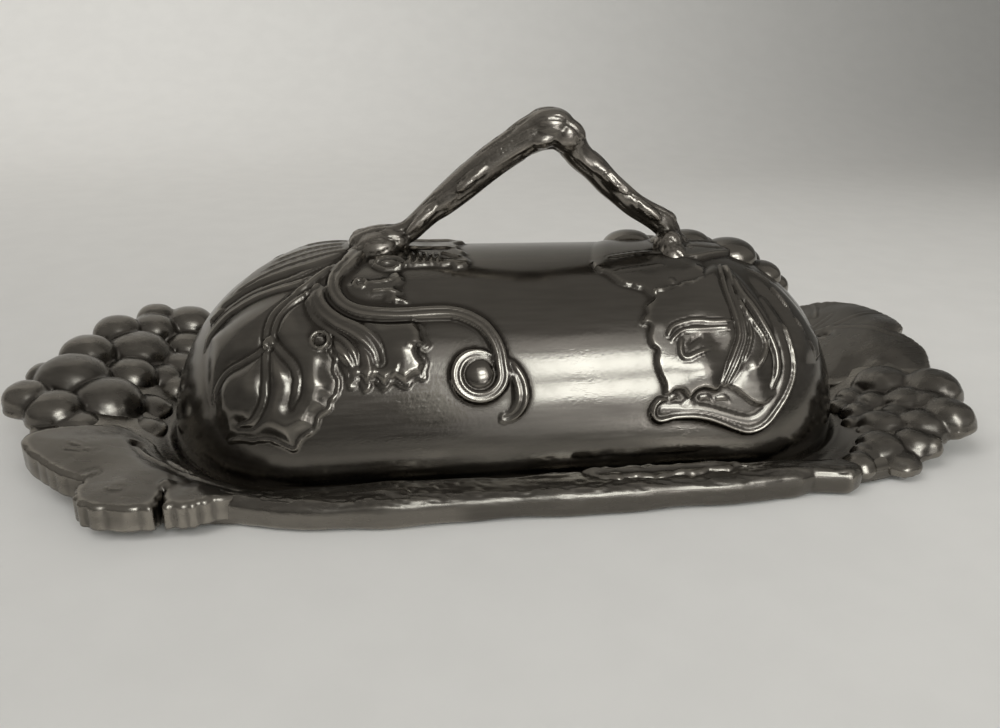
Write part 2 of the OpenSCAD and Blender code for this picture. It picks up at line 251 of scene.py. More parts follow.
def add_wear(piece: bpy.types.Object, reach: float, full: float) -> None:
    """Stores how hollow or proud each point is, as the attribute wear from 0 (hollow) to 1 (proud).

    Args:
        piece: The piece.
        reach: Rough distance over which the surface is compared, in millimetres.
        full: Depth that counts as fully hollow or proud, in millimetres.
    """
    mesh = piece.data
    count = len(mesh.vertices)
    co = np.zeros(count * 3)
    mesh.vertices.foreach_get("co", co)
    co = co.reshape(-1, 3) / MM
    normal = np.zeros(count * 3)
    mesh.vertices.foreach_get("normal", normal)
    normal = normal.reshape(-1, 3)
    edges = np.zeros(len(mesh.edges) * 2, np.int64)
    mesh.edges.foreach_get("vertices", edges)
    a, b = edges.reshape(-1, 2).T
    spacing = float(np.median(np.linalg.norm(co[a] - co[b], axis=1)))
    degree = np.maximum(np.bincount(a, minlength=count) + np.bincount(b, minlength=count), 1)
    soft = co.copy()
    for _ in range(max(2, int((reach / spacing) ** 2))):
        soft = np.stack([(np.bincount(a, soft[b, k], count) + np.bincount(b, soft[a, k], count)) / degree
                         for k in range(3)], axis=1) * 0.6 + soft * 0.4
    proud = ((co - soft) * normal).sum(1)
    wear = mesh.attributes.new("wear", "FLOAT", "POINT")
    wear.data.foreach_set("value", np.clip(0.5 + 0.5 * proud / full, 0, 1).astype(np.float32))


def smooth_by_voxels(piece: bpy.types.Object, voxel: float, passes: int) -> None:
    """Melts the closed bodies of a piece into one skin with soft creases.

    Args:
        piece: The piece.
        voxel: Size of the new skin's mesh, in millimetres.
        passes: Number of smoothing passes.
    """
    remesh = piece.modifiers.new("one_skin", "REMESH")
    remesh.mode = "VOXEL"
    remesh.voxel_size = voxel * MM
    remesh.use_smooth_shade = True
    soft = piece.modifiers.new("soft_creases", "SMOOTH")
    soft.iterations = passes
    soft.factor = 0.5
    graph = bpy.context.evaluated_depsgraph_get()
    made = bpy.data.meshes.new_from_object(piece.evaluated_get(graph))
    piece.modifiers.clear()
    piece.data = made
    made.polygons.foreach_set("use_smooth", [True] * len(made.polygons))


@dataclass(frozen=True)
class CoverForm:
    """The cover's outside, as the frame's cover_shell has it: a half barrel with rounded ends."""

    half_len: float
    half_width: float
    rim_z: float
    height: float
    end_plan: float = 38.0
    end_side: float = 46.0
    wall: float = 2.0

    @classmethod
    def from_frame(cls) -> "CoverForm":
        """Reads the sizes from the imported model."""
        low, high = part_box("cover_shell")
        return cls(high.x / MM, high.y / MM, low.z / MM, (high.z - low.z) / MM)

    def left_of(self, x: np.ndarray, reach: float, half: float) -> np.ndarray:
        """How much of the full width or height is left at x, near a rounded end."""
        t = np.clip((np.abs(x) - half + reach) / reach, 0, 1)
        return np.sqrt(1 - t * t)

    def point(self, x: np.ndarray, angle: np.ndarray, raised: float = 0.0) -> np.ndarray:
        """A point of the outside.

        Args:
            x: Place along the dish.
            angle: Angle round it, in degrees.
            raised: How far the surface is moved outwards.

        Returns:
            Coordinates, in the last axis.
        """
        x = np.asarray(x, float)
        a = np.radians(np.asarray(angle, float))
        half = self.half_len + raised
        y = -(self.half_width + raised) * self.left_of(x, self.end_plan + raised, half) * np.cos(a)
        z = self.rim_z + (self.height + raised) * self.left_of(x, self.end_side + raised, half) * np.sin(a)
        return np.stack([x + 0 * y, y, z], axis=-1)

    def stations(self, step: float, raised: float = 0.0) -> np.ndarray:
        """Places along the dish, evenly spaced over the surface from end to end."""
        straight = self.half_len - self.end_side
        reach = self.end_side + raised
        turn = np.linspace(0, math.pi / 2, max(8, round(reach * math.pi / 2 / step)))
        middle = np.linspace(-straight, straight, max(2, round(2 * straight / step)))[1:-1]
        end = straight + reach * np.sin(turn)
        end[-1] -= 0.002
        return np.concatenate([-end[::-1], middle, end])


@dataclass(frozen=True)
class Cord:
    """A raised line on the cover: a vein, a stem or a tendril."""

    path: Path2
    width: float
    height: float
    start: float = 0.6
    end: float = 0.3
    groove: float = 0.25
    flute: float = 0.0
    broken: float = 0.0


@dataclass(frozen=True)
class Leaf:
    """A leaf on the cover: its crisp edge, its soft edge, its veins and its swollen places."""

    crisp: Path2
    soft: Path2
    lift: float
    pillow: float
    veins: tuple[Cord, ...] = ()
    swells: tuple[tuple[float, float, float, float], ...] = ()
    soft_reach: float = 5.0
    crisp_reach: float = 1.1
    bead: float = 0.0
    ease: float = 0.0


def turned(path: Path2) -> Path2:
    """A path of the cover's front, turned half round to its back."""
    return [(-x, 180 - a) for x, a in path]


def turned_cord(cord: Cord) -> Cord:
    """A cord of the cover's front, turned half round to its back."""
    return replace(cord, path=turned(cord.path))


def turned_leaf(leaf: Leaf) -> Leaf:
    """A leaf of the cover's front, turned half round to its back."""
    return replace(leaf, crisp=turned(leaf.crisp), soft=turned(leaf.soft),
                   veins=tuple(turned_cord(v) for v in leaf.veins),
                   swells=tuple((-x, 180 - a, r, h) for x, a, r, h in leaf.swells))


class Relief:
    """Heights raised on a fine grid over the cover."""

    def __init__(self, form: CoverForm, x: np.ndarray, angle: np.ndarray) -> None:
        """Lays the grid.

        Args:
            form: The cover's outside.
            x: Place along the dish of each point.
            angle: Angle of each point.
        """
        self.form = form
        self.x = x
        self.angle = angle
        self.base = form.point(x, angle)
        self.height = np.zeros(len(x))

    def on_cover(self, path: Path2, step: float = 1.0, closed: bool = False) -> np.ndarray:
        """Points in space of a smooth path on the cover."""
        p = rounded(path, step, closed)
        return self.form.point(p[:, 0], p[:, 1])

    def add_cord(self, cord: Cord, on_top: bool = False) -> None:
        """Raises a cord with a shallow groove along both sides.

        Args:
            cord: The cord.
            on_top: True to add it to what lies there, False to let the higher one show.
        """
        path = self.on_cover(cord.path)
        half = cord.width / 2
        rows, gap, along = far_from(self.base, path, half * 2.2)
        total = float(np.linalg.norm(np.diff(path, axis=0), axis=1).sum())
        ends = np.minimum(cord.start + (1 - cord.start) * smooth(along / (cord.width * 1.2)),
                          cord.end + (1 - cord.end) * smooth((total - along) / (cord.width * 2.0)))
        q = gap / (half * (0.5 + 0.5 * ends))
        ends = ends * (1 - cord.broken * (0.5 + 0.5 * np.sin(along * 1.3 + 2 * np.sin(along * 0.57))))
        body = np.sqrt(np.clip(1 - q * q, 0, 1)) * cord.height * ends
        body -= cord.flute * np.exp(-(q / 0.36) ** 2)
        ditch = 0.6 * cord.groove * np.where((q > 1) & (q < 1.6), np.sin(np.pi * (q - 1) / 0.6), 0)
        if on_top:
            self.height[rows] += body - ditch
        else:
            raised = q < 1
            self.height[rows] = np.where(raised, np.maximum(self.height[rows], body), self.height[rows] - ditch)

    def add_leaf(self, leaf: Leaf) -> None:
        """Raises a leaf, swollen between its veins."""
        crisp = rounded(leaf.crisp, 1.2)
        soft = rounded(leaf.soft, 2.0)
        outline = np.vstack([crisp, soft])
        low, high = outline.min(0) - 1, outline.max(0) + 1
        rows = np.nonzero((self.x > low[0]) & (self.x < high[0]) & (self.angle > low[1]) & (self.angle < high[1]))[0]
        rows = rows[inside(outline, self.x[rows], self.angle[rows])]
        points = self.base[rows]
        edge = np.full(len(rows), 1.0)
        for line, reach in ((leaf.crisp, leaf.crisp_reach), (leaf.soft, leaf.soft_reach)):
            near, gap, _ = far_from(points, self.on_cover(line), reach)
            edge[near] = np.minimum(edge[near], np.sqrt(smooth(gap / reach)))
        vein_gap = np.full(len(rows), 99.0)
        for vein in (v for v in leaf.veins if v.width >= 1.5):
            near, gap, _ = far_from(points, self.on_cover(vein.path), 9.0)
            vein_gap[near] = np.minimum(vein_gap[near], gap)
        swollen = leaf.pillow * (1 - np.exp(-(vein_gap / 2.3) ** 2)) * smooth(edge * 1.0)
        for x, angle, radius, lift in leaf.swells:
            gap = np.linalg.norm(points - self.form.point(x, angle), axis=1)
            swollen += lift * np.exp(-(gap / radius) ** 2)
        if leaf.ease:
            near, gap, _ = far_from(points, self.on_cover(leaf.crisp), leaf.ease)
            swollen[near] *= smooth(gap / leaf.ease)
        self.height[rows] = np.maximum(self.height[rows], edge * (leaf.lift + swollen))
        for vein in leaf.veins:
            self.add_cord(vein, on_top=True)
        if leaf.bead:
            self.add_cord(Cord(leaf.crisp, 0.95, leaf.bead, 0.5, 0.5, 0.0, 0.0, 0.5), on_top=True)

    def raised(self, rows: int, columns: int) -> np.ndarray:
        """Points of the surface with its heights, moved along the cover's normals."""
        grid = self.base.reshape(rows, columns, 3)
        du = np.gradient(grid, axis=0)
        da = np.gradient(grid, axis=1)
        normal = np.cross(da, du)
        size = np.linalg.norm(normal, axis=-1, keepdims=True)
        flat = size[..., 0] < 1e-9
        normal = normal / np.maximum(size, 1e-9)
        centre = np.array([0, 0, self.form.rim_z])
        outward = np.sign((normal * (grid - centre)).sum(-1, keepdims=True))
        normal *= np.where(outward == 0, 1, outward)
        normal[flat] = 0
        return grid + normal * self.height.reshape(rows, columns, 1)


@dataclass
class VinePattern:
    """The vine on the cover: leaves, stems and the curled tendril."""

    vein_h: float = 0.5
    stem_h: float = 1.5
    curl_middle: tuple[float, float] = (-15.0, 33.2)

    def vein(self, *path: tuple[float, float], width: float = 1.2, height: float = 0.0) -> Cord:
        """A thin vein of a leaf."""
        return Cord(list(path), width, height or self.vein_h, 0.8, 0.25, 0.2)

    def ring(self, centre: tuple[float, float], reach: float, width: float, height: float) -> Cord:
        """A small ring of raised metal."""
        tall = reach * 1.25
        path = [(centre[0] + reach * math.cos(b), centre[1] + tall * math.sin(b))
                for b in np.linspace(0, 2 * math.pi, 13)]
        return Cord(path, width, height, 1.0, 1.0, 0.2)

    def left_leaf(self) -> Leaf:
        """The large leaf at the left end."""
        return Leaf(
            crisp=[(-73.9, 16.9), (-71.3, 17.7), (-68.3, 17.1), (-64.8, 17.6), (-62, 16.2), (-58.7, 14.1), (-57.6, 15.8),
                   (-56.7, 17.6), (-53.7, 19.7), (-52.7, 23.1), (-50.2, 25.2), (-50.0, 27.2), (-48.7, 28.6), (-47.9, 32.7),
                   (-49, 35.9), (-48.5, 39.5), (-49.4, 43.5), (-50.6, 45)],
            soft=[(-52, 50), (-53.6, 56), (-53, 62), (-53, 66.5), (-60, 66), (-68, 67), (-76, 66.5), (-80, 64),
                  (-80.5, 54), (-80.2, 42), (-78.9, 31.6), (-77.8, 24.6), (-75.9, 19.5)],
            lift=0.3, pillow=1.2, soft_reach=8.0, crisp_reach=5.5, bead=0.55,
            veins=(Cord([(-53.2, 66.7), (-56, 63.8), (-59.5, 60.5), (-62, 56.8), (-63.3, 51.9), (-63.8, 47.3)],
                        3.2, 0.9, 0.8, 0.8, 0.3, 0.5),
                   self.vein((-63.6, 49), (-65.9, 45.2), (-70, 43.1), (-74, 41.4), (-76.5, 37), (-77.7, 31.3), width=1.5),
                   self.vein((-63.9, 48), (-64.5, 42.2), (-64.5, 36), (-65, 30.1), (-66.4, 25.8), (-68.2, 22.9),
                             (-70.9, 22.3), width=1.6, height=0.6),
                   self.vein((-63.2, 48.5), (-60.8, 43.5), (-58.5, 39.5), (-57.3, 35.2), (-57.7, 30.3), (-58.9, 26.8),
                             width=1.8, height=0.65)),
            swells=((-71, 52, 4, 0.5), (-61.5, 37, 2.2, 0.5), (-68, 35, 3.0, 0.5), (-54.5, 33, 3.0, 0.5),
                    (-57.5, 52, 3.0, 0.5)))

    def middle_leaf(self) -> Leaf:
        """The toothed leaf beside the tendril."""
        lines = [self.vein((-43.6, 36.4), (-43.6, 33.6), (-45, 31.4), width=0.9, height=0.22),
                 self.vein((-39.4, 36.6), (-40, 33.8), (-41.6, 30.6), width=0.9, height=0.22),
                 self.vein((-34.4, 36.6), (-35.2, 34), (-37.2, 30.6), width=0.9, height=0.22),
                 self.vein((-31.6, 42.6), (-29.6, 41.6), (-28.6, 39.4), width=0.9, height=0.22)]
        return Leaf(
            crisp=[(-50.2, 45), (-49.6, 41.3), (-47.4, 37.5), (-46.1, 35.2), (-45.3, 30.8), (-44.2, 31.4), (-43.3, 33.2),
                   (-42, 29.8), (-40.8, 31), (-39.5, 32.6), (-37.7, 29.9), (-36.4, 31.2), (-35.2, 32.2), (-32.3, 30),
                   (-31.4, 31.6), (-29.8, 32.8), (-27.8, 32.6), (-27.9, 34.4), (-27, 37.2), (-28.2, 39.4), (-28.5, 41.1),
                   (-26.5, 42.3), (-27.4, 44.6), (-27.7, 47.7), (-29.1, 50.4)],
            soft=[(-31.1, 52), (-36, 51.8), (-41, 52.4), (-44.5, 54), (-47.2, 57), (-48.8, 61), (-49.8, 66),
                  (-53.4, 64), (-54.6, 60), (-53.6, 55), (-51.4, 50)],
            lift=0.4, pillow=1.1, soft_reach=3.5, crisp_reach=2.4, bead=0.5,
            veins=(Cord([(-52, 64.2), (-52.6, 59.4), (-51, 54.9), (-47.9, 51), (-44.1, 48.3), (-40.9, 45),
                         (-39, 41.5), (-38.3, 38)], 4.0, 1.1, 0.8, 0.3, 0.25, 0.25),
                   self.vein((-54.7, 62.8), (-54.6, 57.9), (-53.1, 53), (-49.8, 48.3), (-46.4, 44.9), (-44.3, 41),
                             (-43.6, 37.5), width=1.6, height=0.7),
                   *lines),
            swells=((-32.8, 41.5, 3.4, 0.8), (-46.5, 40, 2.4, 0.5)))

    def small_leaf(self) -> Leaf:
        """The small leaf above the tendril."""
        return Leaf(
            crisp=[(-32.7, 70.8), (-31.8, 67.6), (-32.2, 65.6), (-33.8, 63.6), (-32.2, 61.6), (-33.4, 60),
                   (-30.6, 57.4), (-33.4, 57.6)],
            soft=[(-37, 58.4), (-42, 59), (-45.5, 61.5), (-46, 66), (-43, 69.2), (-39, 68.8), (-36, 69.8)],
            lift=0.5, pillow=0.5, soft_reach=3.5, crisp_reach=0.8, bead=0.35,
            veins=(self.vein((-40, 65.4), (-36.5, 65.8), (-33, 67.6), width=1.2),
                   self.vein((-39, 61.6), (-35.5, 61.8), (-33, 61.4), width=1.2)))

    def left_foot_leaf(self) -> Leaf:
        """The leaf that shows right of the handle's left foot: a bud, a row of small teeth and a jagged tip."""
        rungs = [self.vein((x + 0.5, 81.4), (x, 78), (x - 0.6, 74.6), width=0.9, height=0.55)
                 for x in (-29.4, -27.6, -25.8, -24, -22.4)]
        return Leaf(
            crisp=[(-34, 101), (-27, 101.5), (-21, 100.6), (-14.6, 99.4), (-13.8, 96.4), (-15.8, 94), (-16.8, 91.4),
                   (-15.6, 89), (-16.6, 86.4), (-14.6, 83.4), (-15.6, 80.6), (-14.2, 77), (-15.4, 73.6), (-18.2, 72.4),
                   (-19.4, 74), (-21.4, 73.6), (-24.4, 74.2), (-28.6, 73.6), (-31, 73.8)],
            soft=[(-34, 72.4), (-37, 72.6), (-39.6, 74.6), (-41, 80), (-40, 92)],
            lift=0.75, pillow=0.25, soft_reach=2.5, crisp_reach=1.0, bead=0.15,
            veins=(self.vein((-38.8, 74.8), (-36.4, 72.8), (-33, 73), (-30.8, 75.4), width=1.1, height=0.7),
                   self.vein((-38.4, 76), (-35.6, 78.2), (-32.4, 77.8), (-30.8, 75.8), width=1.1, height=0.7),
                   self.vein((-36.6, 75.4), (-34.4, 75.8), (-32.4, 75.2), width=1.1, height=0.6),
                   self.vein((-37, 86.6), (-30, 86.8), (-22, 86), (-17.4, 86.4), width=1.3, height=0.6),
                   self.vein((-36, 98.6), (-27, 99.2), (-16, 97.4), width=1.3, height=0.5),
                   self.vein((-21, 81.6), (-18.6, 79.4), (-16, 78.6), width=1.1, height=0.6),
                   self.vein((-20.4, 76), (-18, 75.6), (-15.4, 75.8), width=1.0, height=0.35), *rungs),
            swells=((-24, 92.6, 3.4, -0.5), (-30, 93, 3.0, -0.3)))

    def top_left_leaf(self) -> Leaf:
        """The leaf over the left end's top."""
        return Leaf(
            crisp=[(-79.8, 70.5), (-78.6, 75.5), (-76.4, 79.4), (-72.4, 82.6), (-69, 87.4), (-65, 90), (-61, 93.4),
                   (-57, 98.4), (-52, 102), (-47, 105), (-42, 104)],
            soft=[(-40.5, 98), (-41, 90), (-44, 84), (-47, 79), (-53, 74.6), (-60, 73.4), (-68, 73.6), (-75, 72.6)],
            lift=0.9, pillow=0.5, soft_reach=2.0,
            veins=(self.vein((-46, 84), (-55, 80), (-64, 78.5), (-73, 77), width=1.2, height=0.35),
                   self.vein((-47, 87), (-56, 84), (-66, 82), width=1.1, height=0.3),
                   self.vein((-47, 91), (-56, 88.6), (-64, 86), width=1.2, height=0.35),
                   self.vein((-46, 96), (-52, 96.4), (-57, 95), width=1.1, height=0.3)))

    def right_foot_leaf(self) -> Leaf:
        """The leaf under the handle's right foot."""
        return Leaf(
            crisp=[(18, 71), (18.6, 69.6), (19.9, 69.1), (21.8, 65.8), (23.1, 63.6), (25.8, 62.4), (28.5, 61), (29.4, 60),
                   (30.8, 57.9), (31.8, 59.4), (34, 59.8), (36.4, 61), (38.4, 60.8), (40.1, 62.4), (42.7, 62.6), (45.6, 64.6)],
            soft=[(47.5, 72), (49, 80), (48.6, 90), (45, 98), (38, 103), (30, 104), (24, 100), (21, 92), (19, 84), (17.6, 77)],
            lift=0.8, pillow=0.0, soft_reach=4.5, crisp_reach=0.8, bead=0.6,
            veins=(self.vein((36, 72), (29, 70), (22, 68), height=0.2), self.vein((40, 80), (32, 80), (22, 77), height=0.2)),
            swells=((24, 70, 3, 0.25), (30, 66, 3, 0.25), (46.2, 70, 1.6, 0.8), (48.4, 81, 1.2, 0.7), (37, 63, 1.0, 0.4)))

    def right_leaf(self) -> Leaf:
        """The large leaf at the right end."""
        return Leaf(
            crisp=[(30.2, 60.2), (31.2, 56.8), (28.6, 53.9), (28.4, 51), (26.5, 48), (28.6, 46.8), (27.9, 43), (28.4, 40.1),
                   (29.6, 38.6), (29.0, 35), (29.6, 31.6), (30.7, 28), (30.8, 25), (32.5, 24.8), (33.5, 26.1), (35.6, 26),
                   (37.3, 23.2), (38.8, 25.4), (41.3, 26.2), (44.4, 25.3), (46.2, 27.2), (49.4, 25.4), (53.4, 21.9),
                   (56.9, 21), (59.1, 22.9)],
            soft=[(61.6, 29), (63, 36), (63, 45), (61.4, 54), (59, 62), (56, 70), (52, 73.5), (47, 70), (42, 65.5),
                  (36, 62.5)],
            lift=0.4, pillow=0.45, soft_reach=3.0, crisp_reach=0.7, bead=0.25,
            veins=(Cord([(53, 72), (52.2, 66), (51.7, 59.1), (52.1, 52.2), (52.5, 47), (52.3, 42.1), (50.5, 37.1),
                         (48.4, 32.3), (46.4, 27.6)], 2.8, 0.8, 0.8, 0.35, 0.3, 0.5),
                   self.vein((32.8, 43.2), (34.7, 46), (39.9, 47.6), (45.6, 47.1), (51, 47.6), width=1.3, height=0.5),
                   self.vein((33.6, 41.6), (37, 44.6), (42.8, 45), (50, 45.2), width=1.0, height=0.4),
                   self.vein((35.9, 41.4), (35.4, 38.3), (35.8, 36.2), (37.1, 35.7), (39.9, 37.0), (43.8, 38.6), width=1.2,
                             height=0.45),
                   self.vein((40.8, 42.3), (38.4, 40.6), (37, 38.2), width=1.3, height=-0.3),
                   Cord([(53.4, 71), (54, 65), (55, 58.7), (57, 53.7), (58.9, 47.5), (60.5, 42.4), (61.5, 36.7),
                         (61, 31.2), (59.4, 27)], 2.2, 0.9, 0.8, 0.3, 0.3, 0.0),
                   self.vein((53.6, 58), (54.6, 51.6), (56.5, 46.8), (58.3, 42.5), (58.1, 38.4), (55.6, 33),
                             width=1.4, height=0.6),
                   self.vein((53.4, 55), (54.4, 48.6), (54.6, 43.3), (53.2, 38.2), (51, 33.6), width=1.1)),
            swells=((40.5, 32, 5.4, 0.9), (33, 34, 3.0, 0.1), (45, 41.6, 3.0, -0.4), (54.4, 33, 2.6, 0.7), (31, 47, 2.0, 0.2),
                    (42, 56, 5.5, 0.6)))

    def end_leaf(self) -> Leaf:
        """The soft leaf round the corner of the right end, with its broken veins."""
        return Leaf(
            crisp=[(79.5, 56), (80.5, 50), (79.5, 44)],
            soft=[(76, 38), (71, 36), (67.6, 40), (66.4, 46), (65, 54), (61, 62), (59, 70), (61, 77), (66, 77), (71, 73),
                  (75.5, 66), (78.4, 60)],
            lift=0.6, pillow=0.3, soft_reach=6.0, crisp_reach=3.0,
            veins=(self.vein((65.6, 65), (67.4, 60.6), (69.2, 56), width=1.3, height=0.6),
                   self.vein((70.2, 53.6), (71.4, 51), (72.2, 48.6), width=1.2, height=0.5),
                   self.vein((60.4, 74), (63.4, 71), (66.4, 67.6), width=1.0, height=0.3),
                   self.vein((74, 46), (76, 41), width=1.0, height=0.3)))

    def lower_stem(self) -> list[Cord]:
        """The broad stem that sweeps below the right leaf: a band, its bright lower rim and the frill above it."""
        band = [(30.2, 20.4), (34, 20.1), (38, 19.6), (42.1, 18.6), (45.8, 17.2), (49.6, 15.8), (53, 15.2), (56.2, 16.6),
                (59.4, 20.6), (62.4, 25.6), (64.2, 31.4), (64.8, 37), (64.2, 44), (63.4, 51), (61.6, 58)]
        rim = [(31.2, 23.7), (29.2, 23.2), (27.8, 21.2), (27.8, 18.9), (29.4, 17.4), (33.2, 18.2), (38.1, 18.2), (42.1, 17.3),
               (45.5, 15.8), (48.8, 14.1), (52.2, 12.9), (55.1, 13.5), (57.8, 15.6), (60.9, 20.2), (63.4, 24.6), (65.6, 30.4),
               (66.4, 37), (65.8, 44), (64.8, 51)]
        frill = [self.vein((32, 23.6), (33.4, 24.6), (35, 23.4), width=1.5, height=0.5),
                 self.vein((36, 22.6), (37.8, 22.9), (39.4, 21.9), width=1.7, height=0.55),
                 self.vein((40, 23.8), (42, 24), (43.4, 22.4), width=1.6, height=0.5),
                 self.vein((44.4, 23.4), (46.4, 23.6), (48, 22), width=1.3, height=0.4)]
        return [Cord(band, 4.8, 0.8, 0.8, 0.3, 0.0), Cord(rim, 1.5, 1.45, 0.5, 0.3, 0.2), *frill]

    def tendril(self) -> list[Cord]:
        """The tendril: its run, its curl, the ball in the curl and its tail."""
        run = [(-47.4, 74), (-48.6, 67), (-48.4, 62), (-46.6, 57.7), (-43.8, 55.2), (-40.6, 54), (-36.5, 53.4),
               (-32.5, 53.2), (-27.8, 53.4), (-23.7, 53.6), (-20.2, 53.2), (-16.7, 51.6), (-13.3, 48.6), (-11, 44.4),
               (-9.8, 40.2), (-9.4, 35.8)]
        centre, turn_x, turn_a = self.curl_middle, 5.9, 7.0
        curl = [(centre[0] + turn_x * (1 - 0.00045 * b) * math.cos(math.radians(20 - b)),
                 centre[1] + turn_a * (1 - 0.00045 * b) * math.sin(math.radians(20 - b))) for b in range(30, 331, 25)]
        tail = [(-9.6, 38.0), (-8.5, 36.6), (-6.8, 34.2), (-5.3, 30.8), (-4.8, 27), (-5.3, 23.8), (-6.9, 21.2), (-9.2, 20.2)]
        return [Cord(tail, 4.0, self.stem_h, 0.5, 0.3, 0.3, 0.5),
                Cord(run + curl, 3.6, self.stem_h * 1.1, 0.8, 0.5, 0.3, 0.55)]

    def bundle(self) -> list[Cord]:
        """The stems that run side by side from the left foot over the end."""
        return [Cord([(-39.5, 88), (-42.4, 82.6), (-45.1, 76), (-47.6, 71), (-48.6, 66.4)], 5.2, 2.5, 0.9, 0.5, 0.2, 0.5),
                Cord([(-47, 76), (-52.6, 70.6), (-57.9, 68.8), (-62.6, 69), (-67.5, 69.3), (-71.8, 69), (-75.6, 68.2),
                      (-79.4, 64), (-81, 58)], 2.1, 0.95, 0.8, 0.3, 0.3, 0.35),
                Cord([(-48, 79), (-54.5, 74.5), (-59.2, 72.2), (-64, 72), (-68.9, 72.4), (-73.2, 72), (-76.8, 71),
                      (-80, 67.4)], 1.8, 0.8, 0.8, 0.3, 0.3, 0.25),
                Cord([(-48, 76), (-52, 71), (-55.5, 66.4), (-59.4, 63.4)], 2.0, 1.1, 0.8, 0.4, 0.25),
                Cord([(-50, 84), (-57, 77.6), (-63, 75.6), (-69, 75.8), (-74.6, 75)], 1.4, 0.6, 0.8, 0.3, 0.2)]


@dataclass
class Cover:
    """The cover: its shell with the vine cast on it, and its grapes."""

    pitch: float = 0.42
    inner_columns: int = 40
    grape_width: float = 14.6
    grape_rise: float = 5.4
    grape_sink: float = 1.9
    pattern: VinePattern = field(default_factory=VinePattern)

    def raise_vine(self, relief: Relief) -> None:
        """Raises the whole pattern, front and back."""
        p = self.pattern
        top = [p.top_left_leaf(), p.left_foot_leaf(), p.right_foot_leaf()]
        sides = [p.left_leaf(), p.middle_leaf(), p.small_leaf(), p.right_leaf(), p.end_leaf()]
        rings = [p.ring((-52, 45.2), 2.0, 1.1, 1.9), p.ring((-42.2, 65.2), 1.5, 1.0, 1.5)]
        cords = [*p.bundle(), *p.lower_stem(), *p.tendril(), *rings]
        for leaf in [*sides, *map(turned_leaf, sides)]:
            relief.add_leaf(leaf)
        for cord in [*cords, *map(turned_cord, cords)]:
            relief.add_cord(cord)
        for leaf in top:
            relief.add_leaf(leaf)
        relief.add_leaf(turned_leaf(top[0]))
        for side in (1, -1):
            x, angle = p.curl_middle
            self.add_ball(relief, (x, angle) if side > 0 else (-x, 180 - angle), 3.7, 1.5)

    def add_ball(self, relief: Relief, place: tuple[float, float], radius: float, lift: float) -> None:
        """Raises a round drop with a ring of shadow round it."""
        gap = np.linalg.norm(relief.base - relief.form.point(*place), axis=1)
        q = gap / radius
        body = np.sqrt(np.clip(1 - q * q, 0, 1)) * lift
        relief.height = np.maximum(relief.height, body) - 0.3 * np.exp(-((q - 1.08) / 0.08) ** 2)

    def build_shell(self, form: CoverForm) -> bpy.types.Object:
        """Builds the shell, its rim and its inside."""
        xs = form.stations(self.pitch)
        angles = np.linspace(0, 180, round(math.pi * 45 / self.pitch))
        rows, columns = len(xs), len(angles)
        grid_x, grid_a = np.meshgrid(xs, angles, indexing="ij")
        relief = Relief(form, grid_x.ravel(), grid_a.ravel())
        self.raise_vine(relief)
        outer = relief.raised(rows, columns)
        shrunk = form.half_len - form.wall
        inner_x = np.repeat(xs[:, None] * shrunk / form.half_len, self.inner_columns, axis=1)
        inner_a = np.repeat(np.linspace(0, 180, self.inner_columns)[None, :], rows, axis=0)
        inner = form.point(inner_x, inner_a, -form.wall)
        inner[:, [0, -1], 2] = form.rim_z
        points = np.vstack([outer.reshape(-1, 3), inner.reshape(-1, 3)])
        faces = grid_faces(rows, columns)
        start = rows * columns
        faces += [f[::-1] for f in grid_faces(rows, self.inner_columns, start=start)]
        for i in range(rows - 1):
            a, b = i * columns, start + i * self.inner_columns
            faces.append((a, a + columns, b + self.inner_columns, b))
            a, b = a + columns - 1, b + self.inner_columns - 1
            faces.append((a + columns, a, b, b + self.inner_columns))
        return make_piece(
            "cover_with_vine", points, faces, COVER_BODY, Slot.COVER, "cover_shell", "left_front_leaf",
            "left_back_leaf", "left_middle_leaf", "right_back_middle_leaf", "left_foot_leaf", "right_front_leaf",
            "right_back_leaf", "right_foot_leaf", "front_tendril", "back_tendril", "front_stem", "back_stem")

    def build_grapes(self, form: CoverForm) -> bpy.types.Object:
        """Builds the bunch at the back right."""
        places = [(33.5, 104, 1.0), (50, 100, 1.0), (61, 93, 1.08), (70, 88.5, 0.8), (56, 113, 1.0), (67, 106, 1.05),
                  (76, 99, 0.8), (63, 121, 0.95), (73, 114, 0.85), (42, 116, 0.9)]
        lumps = []
        for x, angle, share in places:
            base = form.point(x, angle, -self.grape_sink)
            normal = form.point(x, angle, 1.0) - base
            lumps.append(Lump(base, normal, self.grape_width / 2 * share, self.grape_rise * share))
        points, faces = lumps_mesh(lumps)
        piece = make_piece("cover_grape_bunch", points, faces, COVER_BODY, Slot.COVER, "cover_grapes")
        smooth_by_voxels(piece, 0.5, 3)
        return piece


@dataclass(frozen=True)
class Lump:
    """A grape: a rounded body that stands on a surface."""

    base: np.ndarray
    normal: np.ndarray
    radius: float
    rise: float
    long: float = 1.0
    yaw: float = 0.0


